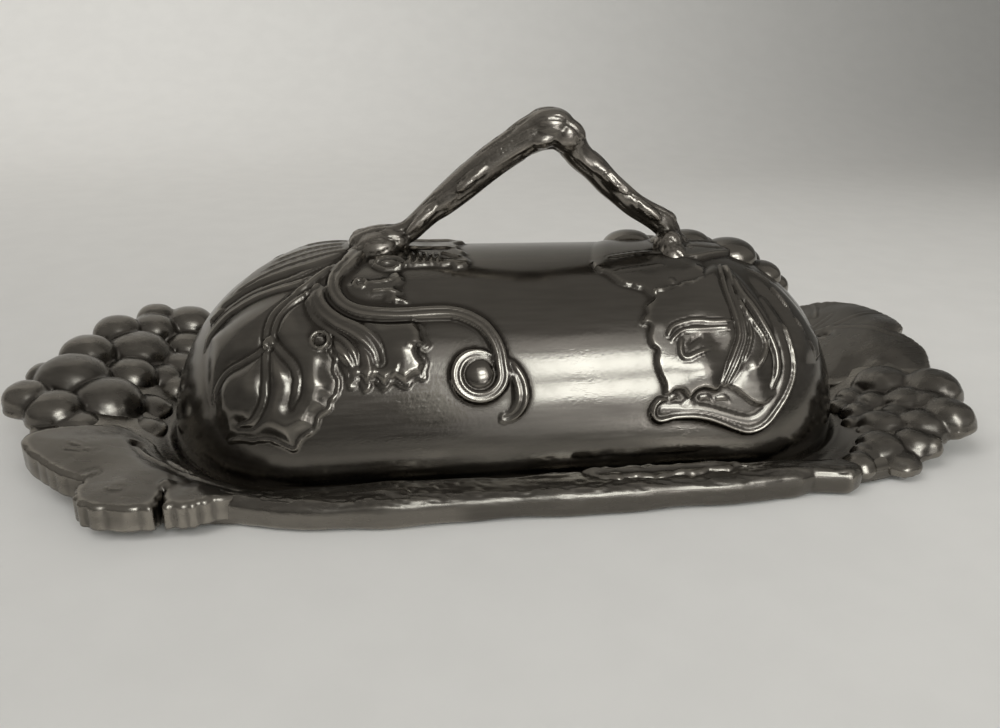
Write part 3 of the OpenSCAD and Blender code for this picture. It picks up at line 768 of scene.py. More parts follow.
def lumps_mesh(lumps: list[Lump]) -> tuple[np.ndarray, list]:
    """Makes the closed bodies of a bunch.

    Args:
        lumps: The grapes.

    Returns:
        Points and faces of all of them.
    """
    around, down = 28, 15
    a = np.linspace(0, 2 * math.pi, around, endpoint=False)
    b = np.linspace(0.12, math.pi - 0.12, down)
    ring = np.stack([np.outer(np.sin(b), np.cos(a)), np.outer(np.sin(b), np.sin(a)),
                     np.repeat(np.cos(b)[:, None], around, axis=1)], axis=-1)
    body, body_faces = closed_tube(ring)
    points, faces = [], []
    for lump in lumps:
        up = lump.normal / np.linalg.norm(lump.normal)
        along = np.cross((0, 1, 0), up)
        along /= np.linalg.norm(along)
        side = np.cross(up, along)
        c, s = math.cos(lump.yaw), math.sin(lump.yaw)
        first, second = along * c + side * s, side * c - along * s
        squared = np.sign(body) * np.abs(body) ** 0.92
        placed = (squared[:, :1] * first * lump.radius * lump.long + squared[:, 1:2] * second * lump.radius
                  + squared[:, 2:] * up * lump.rise)
        start = sum(len(p) for p in points)
        points.append(placed + lump.base)
        faces += [tuple(k + start for k in f) for f in body_faces]
    return np.vstack(points), faces


@dataclass(frozen=True)
class Bark:
    """Furrows that run along a twig."""

    along_mm: float
    across_mm: float
    depth: float
    swell: float
    seed: float
    narrow: float = 0.11

    def heights(self, points: np.ndarray, path: np.ndarray) -> np.ndarray:
        """Heights of the bark at points near a twig's middle line.

        Args:
            points: Points of the twig's skin, one row each.
            path: Points of its middle line.

        Returns:
            Height at each point.
        """
        runs = np.concatenate([[0], np.cumsum(np.linalg.norm(np.diff(path, axis=0), axis=1))])
        _, _, along = far_from(points, path, 1000.0)
        centre = np.stack([np.interp(along, runs, path[:, k]) for k in range(3)], axis=1)
        slope = np.gradient(path, axis=0)
        slope = np.stack([np.interp(along, runs, slope[:, k]) for k in range(3)], axis=1)
        slope /= np.linalg.norm(slope, axis=1, keepdims=True)
        flat = np.stack([-slope[:, 2], 0 * along, slope[:, 0]], axis=1)
        away = points - centre
        twist = along / 55.0
        u, v = (away * flat).sum(1), away[:, 1]
        u, v = u * np.cos(twist) - v * np.sin(twist), u * np.sin(twist) + v * np.cos(twist)
        field_at = np.stack([u / self.across_mm, v / self.across_mm, along / self.along_mm], axis=1)
        value = waves(field_at, 1.0, self.seed, 3)
        return self.swell * value - self.depth * np.exp(-((value - 0.05) / self.narrow) ** 2)


def points_of(piece: bpy.types.Object) -> tuple[np.ndarray, np.ndarray]:
    """Reads a piece's points in millimetres and their normals."""
    count = len(piece.data.vertices)
    co, normal = np.zeros(count * 3), np.zeros(count * 3)
    piece.data.vertices.foreach_get("co", co)
    piece.data.vertices.foreach_get("normal", normal)
    return co.reshape(-1, 3) / MM, normal.reshape(-1, 3)


def push(piece: bpy.types.Object, heights: np.ndarray) -> None:
    """Moves a piece's points along their normals, by heights in millimetres."""
    co, normal = points_of(piece)
    piece.data.vertices.foreach_set("co", ((co + normal * heights[:, None]) * MM).ravel())
    piece.data.update()


@dataclass
class Handle:
    """The bent twig handle, with its knot and its root-like feet."""

    top_z: float = 50.4
    sides: int = 40
    voxel: float = 0.42
    way: tuple[tuple[float, float, float], ...] = (
        (-42.6, -0.4, 7.4), (-39.6, 1.4, 8.8), (-36, 2.6, 8.2), (-32, 3.6, 6.6), (-28.7, 5.3, 6.0), (-24, 9.6, 6.3),
        (-20.6, 12.3, 7.3), (-15.4, 16.6, 8.2), (-10.3, 20.8, 8.4), (-6.4, 23.8, 8.6), (-2.3, 26.6, 8.8),
        (2, 29.4, 9.6), (7, 31.0, 10.6), (11.3, 29.3, 9.2), (15.2, 24.6, 7.2), (19.4, 21.2, 7.0), (23.2, 17.5, 6.8),
        (27.2, 14.3, 6.6), (31.1, 11.4, 6.6), (35.4, 9.0, 6.7), (39.2, 6.9, 7.2), (41.6, 4.3, 6.6), (42.4, 2.0, 6.8),
        (43.2, -0.6, 9.2))
    bark: Bark = Bark(38.0, 2.0, 0.34, 0.13, 4.0, 0.1)
    lobes: tuple[tuple, ...] = (
        ((-40.4, 0.5, 51.6), (0, 0, 1), 9.4, 4.3, 1.0, 0.0), ((-37.6, -3.0, 51.4), (-0.1, -0.4, 1), 9.6, 4.2, 1.15, 0.1),
        ((-33.6, -1.6, 53.4), (0.3, -0.3, 1), 7.0, 3.2, 1.3, 0.0), ((-42.8, -5.0, 49.8), (-0.3, -0.5, 1), 6.4, 2.4, 1.2, 0.5),
        ((-45.6, 1.0, 49.6), (-0.4, 0, 1), 5.0, 1.8, 1.3, 0.2), ((7.0, 0.0, 82.4), (0, 0, 1), 11.0, 4.6, 1.15, 0.0),
        ((11.4, -0.4, 79.8), (0.6, 0, 1), 10.0, 4.6, 1.1, 0.6), ((5.0, -3.0, 79.8), (0.0, -0.8, 0.5), 6.0, 2.2, 1.3, 0.3), ((41.0, 0.0, 57.8), (0.6, 0, 1), 5.6, 2.4, 1.0, 0.0),
        ((43.2, 0.0, 51.4), (0, 0, 1), 8.4, 3.0, 1.0, 0.0), ((43.8, -3.6, 49.8), (0, -0.2, 1), 12.4, 2.2, 1.0, 0.0),
        ((21.5, -2.9, 70.8), (-0.05, -0.92, 0.35), 3.4, 1.5, 5.5, -0.85),
        ((31.5, -2.7, 62.6), (-0.05, -0.92, 0.35), 3.4, 1.5, 4.6, -0.75),
        ((-24.0, -2.6, 60.8), (0, -0.92, 0.35), 3.2, 1.5, 5.5, 0.75), ((-12.0, -3.6, 70.6), (0, -0.92, 0.35), 3.2, 1.4, 4.5, 0.7),
        ((40.8, -3.4, 51.4), (0.1, -0.5, 1), 7.4, 4.2, 1.1, 0.0), ((41.2, -6.6, 49.6), (0.1, -0.6, 1), 7.6, 3.2, 1.2, 1.4),
        ((47.2, -5.6, 49.0), (0.4, -0.5, 1), 5.6, 2.4, 1.2, 0.3), ((52.0, -1.0, 49.6), (0.4, -0.1, 1), 3.0, 1.8, 1.1, 0.0))

    def middle(self) -> tuple[np.ndarray, np.ndarray]:
        """The twig's middle line in space, and its thickness along it."""
        rows = rounded([(x, self.top_z + above, thick) for x, above, thick in self.way], 0.5)
        return np.stack([rows[:, 0], 0 * rows[:, 0], rows[:, 1]], axis=1), rows[:, 2]

    def build(self) -> bpy.types.Object:
        """Builds the twig as one skin and presses its bark into it."""
        path, thick = self.middle()
        slope = np.gradient(path, axis=0)
        slope /= np.linalg.norm(slope, axis=1, keepdims=True)
        flat = np.stack([-slope[:, 2], 0 * thick, slope[:, 0]], axis=1)
        turn = np.linspace(0, 2 * math.pi, self.sides, endpoint=False)
        rings = (path[:, None] + flat[:, None] * (np.cos(turn) * 0.5)[None, :, None] * thick[:, None, None]
                 + np.array([0, 0.5, 0])[None, None] * np.sin(turn)[None, :, None] * thick[:, None, None])
        points, faces = closed_tube(rings)
        lobes = [Lump(np.array(place), np.array(normal), width / 2, rise, long, yaw)
                 for place, normal, width, rise, long, yaw in self.lobes]
        more, more_faces = lumps_mesh(lobes)
        faces += [tuple(k + len(points) for k in f) for f in more_faces]
        piece = make_piece("twig_handle", np.vstack([points, more]), faces, COVER_BODY, Slot.HANDLE, "handle")
        smooth_by_voxels(piece, self.voxel, 5)
        skin, _ = points_of(piece)
        push(piece, self.bark.heights(skin, path))
        return piece


@dataclass
class Screws:
    """The two round-headed screws that hold the handle from inside the cover."""

    shank: float = 4.0
    top_z: float = 52.4
    slot: float = 0.14
    slot_share: float = 0.5

    def one(self, x: float, seat: float) -> tuple[np.ndarray, list]:
        """Makes a screw: its slotted head, made of strips along the slot, and its shank.

        Args:
            x: Place of the screw along the dish.
            seat: Height at which its head touches the cover.

        Returns:
            Points and faces.
        """
        radius, deep = self.shank * 0.9, self.shank * 0.6
        s = self.slot
        across = np.concatenate([np.linspace(-1, -s, 11), np.linspace(-s, s, 4) * 0.98, np.linspace(s, 1, 11)])
        along = np.linspace(-1, 1, 25)
        u = along[None, :] * np.sqrt(1 - across[:, None] ** 2)
        v = np.repeat(across[:, None], 25, axis=1)
        drop = -deep * np.sqrt(np.clip(1 - u * u - v * v, 0, 1))
        drop = np.where(np.abs(v) < s * 0.99, np.maximum(drop, -deep * self.slot_share), drop)
        face = np.stack([x + radius * u, radius * v, seat + drop], axis=-1).reshape(-1, 3)
        back = np.stack([x + radius * u, radius * v, seat + 0 * u], axis=-1).reshape(-1, 3)
        turn = np.linspace(0, 2 * math.pi, 32, endpoint=False)
        rings = np.stack([np.column_stack([x + self.shank / 2 * np.cos(turn), self.shank / 2 * np.sin(turn), 0 * turn + z])
                          for z in np.linspace(seat - 0.1, self.top_z, 8)])
        rod, rod_faces = closed_tube(rings)
        count = len(face)
        faces = grid_faces(len(across), 25) + grid_faces(len(across), 25, start=count)
        faces += [tuple(k + 2 * count for k in f) for f in rod_faces]
        return np.vstack([face, back, rod]), faces

    def build(self) -> bpy.types.Object:
        """Builds both screws where the frame has them."""
        low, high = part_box("handle_screws")
        seat = low.z / MM + self.shank * 0.6
        points, faces = [], []
        for x in (low.x / MM + self.shank * 0.9, high.x / MM - self.shank * 0.9):
            made, made_faces = self.one(x, seat)
            faces += [tuple(k + sum(map(len, points)) for k in f) for f in made_faces]
            points.append(made)
        return make_piece("handle_screw_pair", np.vstack(points), faces, COVER_BODY, Slot.SCREW, "handle_screws")


@dataclass
class TrayForm:
    """The tray's pan: a shallow well with raised, flared ends."""

    well_x: float = 94.5
    well_y: float = 44.0
    end_x: float = 125.5
    side_y: float = 51.0
    straight: float = 54.5
    floor_z: float = 2.4
    rim_z: float = 4.0
    end_reach: float = 31.0
    end_rise: float = 10.0
    end_lean: float = 0.05
    bed_rise: float = 3.4

    def top(self, x: np.ndarray, y: np.ndarray) -> np.ndarray:
        """Height of the flange at a place."""
        share = smooth((np.abs(x) - self.well_x + 3) / (self.end_reach + 6))
        return self.rim_z + self.end_rise * share * (1 + self.end_lean * y / self.end_rise * 2)

    def bed(self, x: np.ndarray, share: float) -> np.ndarray:
        """Extra height of the flange under the grapes, share of the way from the well to the edge."""
        bump = min(1.0, share / 0.3) * (1 - float(smooth((share - 0.6) / 0.4)))
        return self.bed_rise * bump * smooth((np.abs(x) - 78) / 16)

    def loop(self, x_end: float, y_side: float, power: float, quarter: int = 120, side: int = 110) -> np.ndarray:
        """A line round the tray: rounded at the ends and straight along the sides."""
        t = np.linspace(-math.pi / 2, math.pi / 2, 2 * quarter + 1)
        x = self.straight + (x_end - self.straight) * np.abs(np.cos(t)) ** (2 / power)
        y = y_side * np.sign(np.sin(t)) * np.abs(np.sin(t)) ** (2 / power)
        along = np.linspace(self.straight, -self.straight, side + 2)[1:-1]
        right = np.stack([x, y], axis=1)
        far = np.stack([along, np.full(side, y_side)], axis=1)
        return np.vstack([right, far, -right, -far])


@dataclass
class Pan:
    """The tray's plain metal: floor, well wall, flange and the foot below."""

    form: TrayForm
    lip: float = 1.0

    def build(self) -> bpy.types.Object:
        """Builds the pan as rings from the middle of the floor, out over the rim and back below."""
        f = self.form
        rings = []

        def ring(plan: np.ndarray, z: np.ndarray | float) -> None:
            """Adds a ring at a height."""
            rings.append(np.column_stack([plan, np.broadcast_to(z, len(plan))]))

        floor = f.loop(f.well_x - 4, f.well_y - 4, 2.0)
        for share in (0.02, 0.4, 0.75, 0.95, 1.0):
            ring(floor * share, f.floor_z)
        for inset, lift in ((2.6, 0.12), (1.5, 0.55), (0.7, 1.2)):
            ring(f.loop(f.well_x - inset, f.well_y - inset, 2.0), f.floor_z + lift)
        inner = f.loop(f.well_x, f.well_y, 2.0)
        outer = f.loop(f.end_x, f.side_y, 2.6)
        inner_top = f.top(inner[:, 0], inner[:, 1])
        ring(inner, np.maximum(inner_top - 1.0, f.floor_z + 1.4))
        for share in (0.03, 0.08, 0.2, 0.35, 0.5, 0.65, 0.8, 0.92, 0.98):
            plan = inner + (outer - inner) * share
            ring(plan, f.top(plan[:, 0], plan[:, 1]) + f.bed(plan[:, 0], share) - (0.3 if share < 0.05 else 0.0))
        under = np.maximum(f.top(outer[:, 0], outer[:, 1]) - 3.0, 0.5)
        upper = f.top(outer[:, 0], outer[:, 1])
        for share in (0.15, 0.4, 0.7, 1.0):
            ring(outer, upper + (under - upper) * share)
        foot = f.loop(f.well_x - 1, f.side_y - 1.2, 2.2)
        for share in (0.98, 0.8, 0.6, 0.4, 0.2, 0.08):
            plan = foot + (outer - foot) * share
            ring(plan, np.maximum(f.top(plan[:, 0], plan[:, 1]) - 3.0, 0.3))
        ring(foot, 0.1)
        for inset in (1.2, 5.0):
            ring(f.loop(f.well_x - 1 - inset, f.side_y - 1.2 - inset, 2.2), 0.0)
        ring(foot * 0.5, 0.0)
        ring(foot * 0.02, 0.0)
        points, faces = closed_tube(np.stack(rings))
        return make_piece("tray_pan_metal", points, faces, TRAY_BODY, Slot.TRAY, "tray_pan")


@dataclass
class RimBranch:
    """The bark-covered branch that forms one long rim of the tray."""

    side: int
    start: float = -75.8
    end: float = 81.6
    step: float = 0.5
    bark: Bark = Bark(15.0, 1.6, 0.3, 0.24, 9.0, 0.11)
    section: tuple[tuple[float, float], ...] = (
        (44.8, 1.4), (44.3, 3.4), (44.5, 5.0), (45.6, 6.5), (47.6, 7.3), (49.8, 7.5), (51.6, 7.2), (52.8, 6.3),
        (53.3, 5.0), (53.3, 3.2), (53.0, 1.4), (52.2, 0.5), (50.4, 0.3), (47, 0.5))
    bow: tuple[tuple[float, float], ...] = (
        (-80, -7.6), (-78, -6.6), (-73, -3.2), (-68, -1.0), (-63, 0.7), (-57, 1.8), (-52, 2.4), (-41, 2.9), (-30, 2.7),
        (-17, 2.5), (0, 2.5), (11, 2.8), (23.5, 2.5), (36, 2.3), (46, 2.3), (52, 1.8), (57, 0.8), (62, 0.4), (66, -0.6),
        (70, 0.2), (75.5, 1.2), (79, 0.2), (82, -1.6))

    def build(self) -> bpy.types.Object:
        """Sweeps the section along the rim, closes its ends and presses bark into its top."""
        x = np.arange(self.start, self.end, self.step)
        bow = np.interp(x, *np.array(self.bow).T)
        line = rounded(list(self.section), 0.42, closed=True)
        ends = np.minimum(np.sqrt(np.clip((x - self.start) / 0.8, 0.3, 1)),
                          np.sqrt(np.clip(1 - ((x - self.end + 8) / 8).clip(0, 1) ** 2, 0.02, 1)))
        thick = 1 + 0.05 * np.sin(x / 7.3) + 0.035 * np.sin(x / 3.1 + 1)
        middle = np.array([49.0, 3.6])
        rings = []
        for place, shift, left, size in zip(x, bow, ends, thick):
            y = middle[0] + (line[:, 0] - middle[0]) * left * size
            z = middle[1] + (line[:, 1] - middle[1]) * left * size
            share = smooth((y - 46) / 6.0)
            rings.append(np.column_stack([np.full(len(line), place), y + shift * share, np.maximum(z, 0.15)]))
        points, faces = closed_tube(np.stack(rings))
        points[:, 0] *= -self.side
        points[:, 1] *= self.side
        name = "front_branch" if self.side < 0 else "back_branch"
        piece = make_piece(f"{name}_bark", points, faces, TRAY_BODY, Slot.TRAY, name)
        skin, _ = points_of(piece)
        path = np.column_stack([np.linspace(-80, 80, 60), np.full(60, 49.0 * self.side), np.full(60, 3.6)])
        on_top = smooth((skin[:, 2] - 5.6) / 1.8)
        push(piece, self.bark.heights(skin, path) * (0.12 + 0.88 * on_top))
        return piece


@dataclass
class TrayLeaf:
    """A thick cast leaf that spreads over an end of the tray."""

    name: str
    node: str
    side: int
    form: TrayForm
    outline: Path2
    veins: tuple[Cord, ...]
    swells: tuple[tuple[float, float, float, float], ...] = ()
    rise: float = 4.6
    far_drop: float = 0.0
    near_drop: float = 0.0
    thickness: float = 6.0
    crown: float = 1.2
    tooth: float = 3.9
    tooth_depth: float = 0.6
    pitch: float = 0.7
    well_slope: float = 0.0
    rough: float = 0.07

    def plan(self, path: Path2) -> Path2:
        """Turns places out from the well's end to places on the tray."""
        return [(self.side * (self.form.well_x + out), y) for out, y in path]

    def edge_line(self) -> np.ndarray:
        """The leaf's outline with its small scallops."""
        line = rounded(self.plan(self.outline), 0.6, closed=True)
        gaps = np.linalg.norm(np.diff(line, axis=0, append=line[:1]), axis=1)
        run = np.concatenate([[0], np.cumsum(gaps)[:-1]])
        count = max(3, round(float(gaps.sum()) / self.tooth))
        ahead = np.roll(line, -1, axis=0) - np.roll(line, 1, axis=0)
        out = np.stack([ahead[:, 1], -ahead[:, 0]], axis=1)
        out /= np.maximum(np.linalg.norm(out, axis=1, keepdims=True), 1e-6)
        area = (line[:, 0] * np.roll(line[:, 1], -1) - np.roll(line[:, 0], -1) * line[:, 1]).sum()
        uneven = run * count / gaps.sum() + 0.3 * np.sin(run / 2.9) + 0.25 * np.sin(run / 6.7)
        wave = np.abs(np.sin(math.pi * uneven)) - 0.6
        deep = self.tooth_depth * (0.3 + 0.7 * smooth((np.abs(line[:, 1]) - 40) / 7))
        return line + out * math.copysign(1, area) * (deep * wave)[:, None]

    def heights(self, plan: np.ndarray, edge: np.ndarray) -> np.ndarray:
        """Height of the leaf's top at places on it.

        Args:
            plan: Places, one row each.
            edge: The leaf's outline.

        Returns:
            Height at each place.
        """
        flat = np.column_stack([plan, np.zeros(len(plan))])
        closed = np.vstack([edge, edge[:1]])
        _, gap, _ = far_from(flat, np.column_stack([closed, np.zeros(len(closed))]), 500.0)
        z = self.form.top(plan[:, 0], plan[:, 1]) + self.lift(plan)
        z += self.crown * smooth(gap / 11.0) - 0.8 * np.clip(1 - gap / 0.9, 0, 1) ** 2
        for vein in self.veins:
            line = rounded(self.plan(vein.path), 1.0)
            rows, off, along = far_from(flat, np.column_stack([line, np.zeros(len(line))]), vein.width * 1.6)
            total = float(np.linalg.norm(np.diff(line, axis=0), axis=1).sum())
            fade = vein.end + (1 - vein.end) * smooth((total - along) / 6.0)
            q = off / (vein.width / 2)
            z[rows] += fade * vein.height * np.exp(-q * q) - vein.groove * np.exp(-((q - 1.7) / 0.6) ** 2)
        for out, y, radius, lift in self.swells:
            x = self.side * (self.form.well_x + out)
            z += lift * np.exp(-((plan - (x, y)) ** 2).sum(1) / radius ** 2)
        return z

    def lift(self, plan: np.ndarray) -> np.ndarray:
        """How far the leaf's top stands above the flange, less by the well and less far back."""
        lift = self.rise - self.far_drop * smooth((plan[:, 1] - 12) / 30) - self.near_drop * smooth((8 - plan[:, 1]) / 14)
        if self.well_slope:
            edge = self.form.loop(self.form.well_x, self.form.well_y, 2.0)
            flat = np.column_stack([plan, np.zeros(len(plan))])
            _, gap, _ = far_from(flat, np.column_stack([edge, np.zeros(len(edge))]), 500.0)
            lift = 1.2 + (lift - 1.2) * smooth(gap / self.well_slope)
        return lift

    def build(self) -> bpy.types.Object:
        """Builds the leaf: its top, its scalloped wall and its underside."""
        edge = self.edge_line()
        low, high = edge.min(0), edge.max(0)
        xs, ys = np.meshgrid(np.arange(low[0], high[0], self.pitch), np.arange(low[1], high[1], self.pitch * 0.87))
        xs[::2] += self.pitch / 2
        inner = np.stack([xs.ravel(), ys.ravel()], axis=1)
        inner = inner[inside(edge, inner[:, 0], inner[:, 1])]
        closed = np.vstack([edge, edge[:1]])
        _, gap, _ = far_from(np.column_stack([inner, 0 * inner[:, 0]]), np.column_stack([closed, 0 * closed[:, 0]]), 500.0)
        inner = inner[gap > self.pitch * 0.5]
        count = len(edge)
        places = np.vstack([edge, inner])
        loop_edges = [(k, (k + 1) % count) for k in range(count)]
        found = geometry.delaunay_2d_cdt([Vector(p) for p in places.tolist()], loop_edges, [], 1, 1e-5)
        flat = np.array([tuple(v) for v in found[0]])
        top = np.column_stack([flat, self.heights(flat, edge)])
        numbers = {}
        for k, origins in enumerate(found[3]):
            numbers.update({o: k for o in origins if o < count})
        rim = [numbers[k] for k in range(count)]
        base = self.form.top(flat[:, 0], flat[:, 1]) + self.lift(flat) - self.thickness
        bottom = np.column_stack([flat, np.maximum(base, 0.4)])
        faces = [tuple(f) for f in found[2]] + [tuple(k + len(flat) for k in reversed(f)) for f in found[2]]
        parts = [top, bottom]
        above, start = np.array(rim), 2 * len(flat)
        for share in (0.12, 0.5, 0.88):
            belt = top[rim] + (bottom[rim] - top[rim]) * share
            parts.append(belt)
            here = start + np.arange(count)
            faces += [(above[k], here[k], here[(k + 1) % count], above[(k + 1) % count]) for k in range(count)]
            above, start = here, start + count
        below = np.array(rim) + len(flat)
        faces += [(above[k], below[k], below[(k + 1) % count], above[(k + 1) % count]) for k in range(count)]
        faces = [tuple(int(k) for k in f) for f in faces]
        piece = make_piece(self.name, np.vstack(parts), faces, TRAY_BODY, Slot.TRAY, self.node)
        skin, _ = points_of(piece)
        push(piece, self.rough * waves(skin, 4.0, 6.0, 2))
        return piece


@dataclass
class Tray:
    """The tray: pan, two rim branches, two leaves, two bunches of grapes and two small rim leaves."""

    form: TrayForm = field(default_factory=TrayForm)
    voxel: float = 0.55
    squash: float = 0.9
    plate_rise: float = 1.9
    left_bunch: tuple[tuple[float, float, float, float], ...] = (
        (-127.0, -7.8, 11.2, 6.2), (-119.6, -11.4, 13.8, 6.2), (-120.0, 5.6, 19.0, 7.6), (-110.4, -2.4, 19.4, 7.8),
        (-119.8, 19.8, 14.6, 6.8), (-108.8, 28.2, 19.2, 8.8), (-108.0, 14.8, 14.6, 6.8), (-115.6, 36.4, 13.6, 7.4),
        (-107.0, 42.4, 14.2, 9.8), (-107.2, 49.4, 11.4, 10.6), (-97.4, 49.6, 15.4, 14.0), (-96.8, 38.4, 13.6, 9.6),
        (-96.8, 26.5, 13.0, 7.6), (-96.6, 15.5, 9.4, 4.6), (-102.0, 2.6, 14.0, 3.4), (-101.0, 19.5, 13.0, 5.6),
        (-88.5, 47.6, 12.0, 7.6), (-114.0, -15.0, 13.0, 3.8), (-100.6, -9.0, 13.0, 2.6), (-128.0, 9.0, 9.0, 2.6),
        (-104.5, -16.0, 12.0, 2.8))
    right_bunch: tuple[tuple[float, float, float, float], ...] = (
        (110.0, -10.4, 17.4, 6.4), (119.2, -18.6, 16.2, 6.4), (109.4, -22.4, 13.6, 5.9), (115.2, -32.4, 14.0, 6.0),
        (107.0, -33.4, 13.6, 5.5), (98.4, -29.6, 13.6, 5.8), (92.0, -39.2, 13.4, 5.0), (94.4, -44.6, 10.4, 2.6),
        (97.4, -20.6, 11.4, 4.2), (101.4, -38.6, 11.6, 4.4), (103.8, -27.6, 11.4, 5.0), (100.6, -11.4, 11.0, 3.8),
        (103.4, -18.0, 11.6, 4.8), (113.0, -26.0, 12.0, 5.6), (82.4, -45.2, 8.4, 2.8), (86.4, -41.6, 8.0, 3.2),
        (104.6, -40.2, 8.0, 3.0), (93.4, -25.4, 8.4, 3.0), (92.6, -32.4, 8.0, 3.4), (95.6, -13.6, 8.0, 2.6))
    left_outline: Path2 = field(default_factory=lambda: [
        (8, -16), (14, -18.4), (17.4, -20.4), (21.4, -23), (25.6, -27), (26.4, -30.4), (24.6, -34.2), (21, -37.4),
        (17.8, -39.8), (14.6, -41.6), (11.6, -42.2), (10.4, -43.2), (10.8, -46), (10.4, -49.6), (8.6, -52), (5, -53.2),
        (-1, -53.6), (-4.6, -53.6), (-6.6, -53), (-7.2, -49.6), (-7.5, -46.8), (-7.8, -46.8), (-8.0, -49.6), (-8.6, -53),
        (-11, -53.2), (-13.5, -53.6), (-16, -52.7), (-19.3, -51.2), (-22, -49.8), (-25.9, -47.6), (-24, -42.6),
        (-17, -37.6), (-9, -31.4), (-3, -24.6), (1, -18)])
    right_outline: Path2 = field(default_factory=lambda: [
        (1, 0), (3.4, -2), (6.6, -3.2), (10, -3), (13, -3.4), (20, -8), (25, -11.6), (28.4, -11.4), (31, -7), (33.4, -1.4),
        (33, 3), (31.4, 7.6), (30.6, 9.4), (33.6, 12), (34.6, 15.6), (35, 22), (34.4, 28), (32.6, 33.6), (30.4, 37.4),
        (27.4, 41.6), (25.2, 44), (24, 45), (20, 48.4), (15, 50.6), (9, 51.6), (2, 52), (-5, 49.6), (-7, 42), (-2, 31),
        (1, 20), (1.6, 10)])

    def leaves(self) -> list[TrayLeaf]:
        """The two end leaves."""
        vein = VinePattern().vein
        left = TrayLeaf(
            "left_leaf_casting", "left_leaf", -1, self.form, self.left_outline,
            (vein((-24, -45.6), (-18, -41.6), (-13, -38), (-8.9, -34.8), (-5, -32.4), (-0.7, -29.8), (2.6, -25.4), width=1.5,
                  height=0.6),
             vein((-8.9, -34.8), (-11.4, -39), (-12.8, -44), (-12.6, -48), width=1.3, height=-0.5),
             vein((-7, -34), (-8.6, -38), (-9.4, -42), width=1.1, height=-0.35),
             vein((-22, -42.2), (-15, -37.4), (-8, -31.4), (-4.4, -25.8), (-2.6, -20.6), width=1.3, height=0.5),
             vein((16.4, -33.2), (13, -33), (10, -31.6), width=0.8, height=0.3),
             vein((16.4, -30.6), (13.4, -31.6), (10.4, -33), width=0.8, height=0.3),
             vein((16, -29.2), (13.6, -29.2), width=0.7, height=0.25),
             vein((10.4, -41.9), (9.6, -41), (8.1, -39.9), width=1.2, height=0.6),
             vein((4.6, -46.6), (2.6, -47.6), (0.6, -47.2), width=0.9, height=0.25)),
            ((-7.8, -44.9, 1.5, 1.3), (3.2, -23.8, 1.1, -2.0), (14, -32, 7, 0.5), (0, -46, 6, 0.4)), well_slope=13.0)
        right = TrayLeaf(
            "right_leaf_casting", "right_leaf", 1, self.form, self.right_outline,
            (vein((0, 30), (8, 28), (17, 26), (28, 25), (36, 25), width=1.4, height=0.22),
             vein((17, 36), (20, 42), (20.6, 46), width=1.2, height=0.3),
             vein((16, 26), (24, 15), (30, 4), width=1.3, height=0.18),
             vein((13, 30), (18, 31.4), (21, 32.6), width=1.1, height=0.3)),
            ((13.6, 22.6, 1.5, -2.8), (26, 33, 5, 0.5), (29, 14, 6, 0.5), (14, 38, 5, 0.5), (12, 21, 1.6, 0.5),
             (17, -2, 2.4, 1.0)),
            rise=4.2, far_drop=2.6, near_drop=1.6)
        return [left, right]

    def rim_leaves(self) -> list[TrayLeaf]:
        """The two small leaves that lie on the long rims."""
        vein = VinePattern().vein
        made = []
        for name, turn in (("front_rim_leaf", 1), ("back_rim_leaf", -1)):
            shape = [(10, -46.4), (14, -45.8), (18, -46.4), (24, -45.9), (30, -46.5), (36, -46), (42, -46.4),
                     (47, -46.8), (50.5, -47.8), (47, -49), (44.5, -50.6), (40, -50), (36, -51.6), (31, -50.8),
                     (26, -52.2), (21, -51.2), (16, -52), (11.5, -50), (8.6, -47.4)]
            outline = [(turn * x - self.form.well_x, turn * y) for x, y in shape]
            middle = [(turn * x - self.form.well_x, turn * y) for x, y in ((9, -47.6), (22, -48.4), (36, -48), (49, -47.6))]
            made.append(TrayLeaf(f"{name}_casting", name, 1, self.form, outline, (vein(*middle, width=1.2, height=0.5),),
                                 rise=4.1, thickness=2.2, crown=0.7, tooth=4.4, tooth_depth=0.4, pitch=0.6,
                                 rough=0.45))
        return made

    def build_bunch(self, name: str, node: str, places: tuple, rough: float) -> bpy.types.Object:
        """Builds a bunch of grapes as one skin.

        Args:
            name: Name of the piece.
            node: The CAD node that it replaces.
            places: Each grape's place, width, and height above the flange.
            rough: Height of the castings' unevenness.

        Returns:
            The piece.
        """
        lumps = []
        up = np.array([0.0, 0.0, 1.0])
        for x, y, width, top in places:
            flange = float(self.form.top(x, y))
            rise = width * self.squash / 2
            lumps.append(Lump(np.array([x, y, flange + top - rise]), up, width / 2, rise, 1.04, 0.3 * math.sin(x)))
            lumps.append(Lump(np.array([x, y, flange - 0.6]), up, width * 0.53, self.plate_rise))
        points, faces = lumps_mesh(lumps)
        points[:, 2] = np.maximum(points[:, 2], self.form.top(points[:, 0], points[:, 1]) - 2.4)
        piece = make_piece(name, points, faces, TRAY_BODY, Slot.TRAY, node)
        smooth_by_voxels(piece, self.voxel, 3)
        skin, _ = points_of(piece)
        push(piece, rough * waves(skin, 5.0, 3.0, 2))
        return piece

    def build(self) -> list[bpy.types.Object]:
        """Builds all the tray's pieces."""
        pieces = [Pan(self.form).build(), RimBranch(-1).build(), RimBranch(1).build()]
        pieces += [leaf.build() for leaf in (*self.leaves(), *self.rim_leaves())]
        pieces.append(self.build_bunch("left_grape_bunch", "left_grapes", self.left_bunch, 0.12))
        pieces.append(self.build_bunch("right_grape_bunch", "right_grapes", self.right_bunch, 0.3))
        return pieces


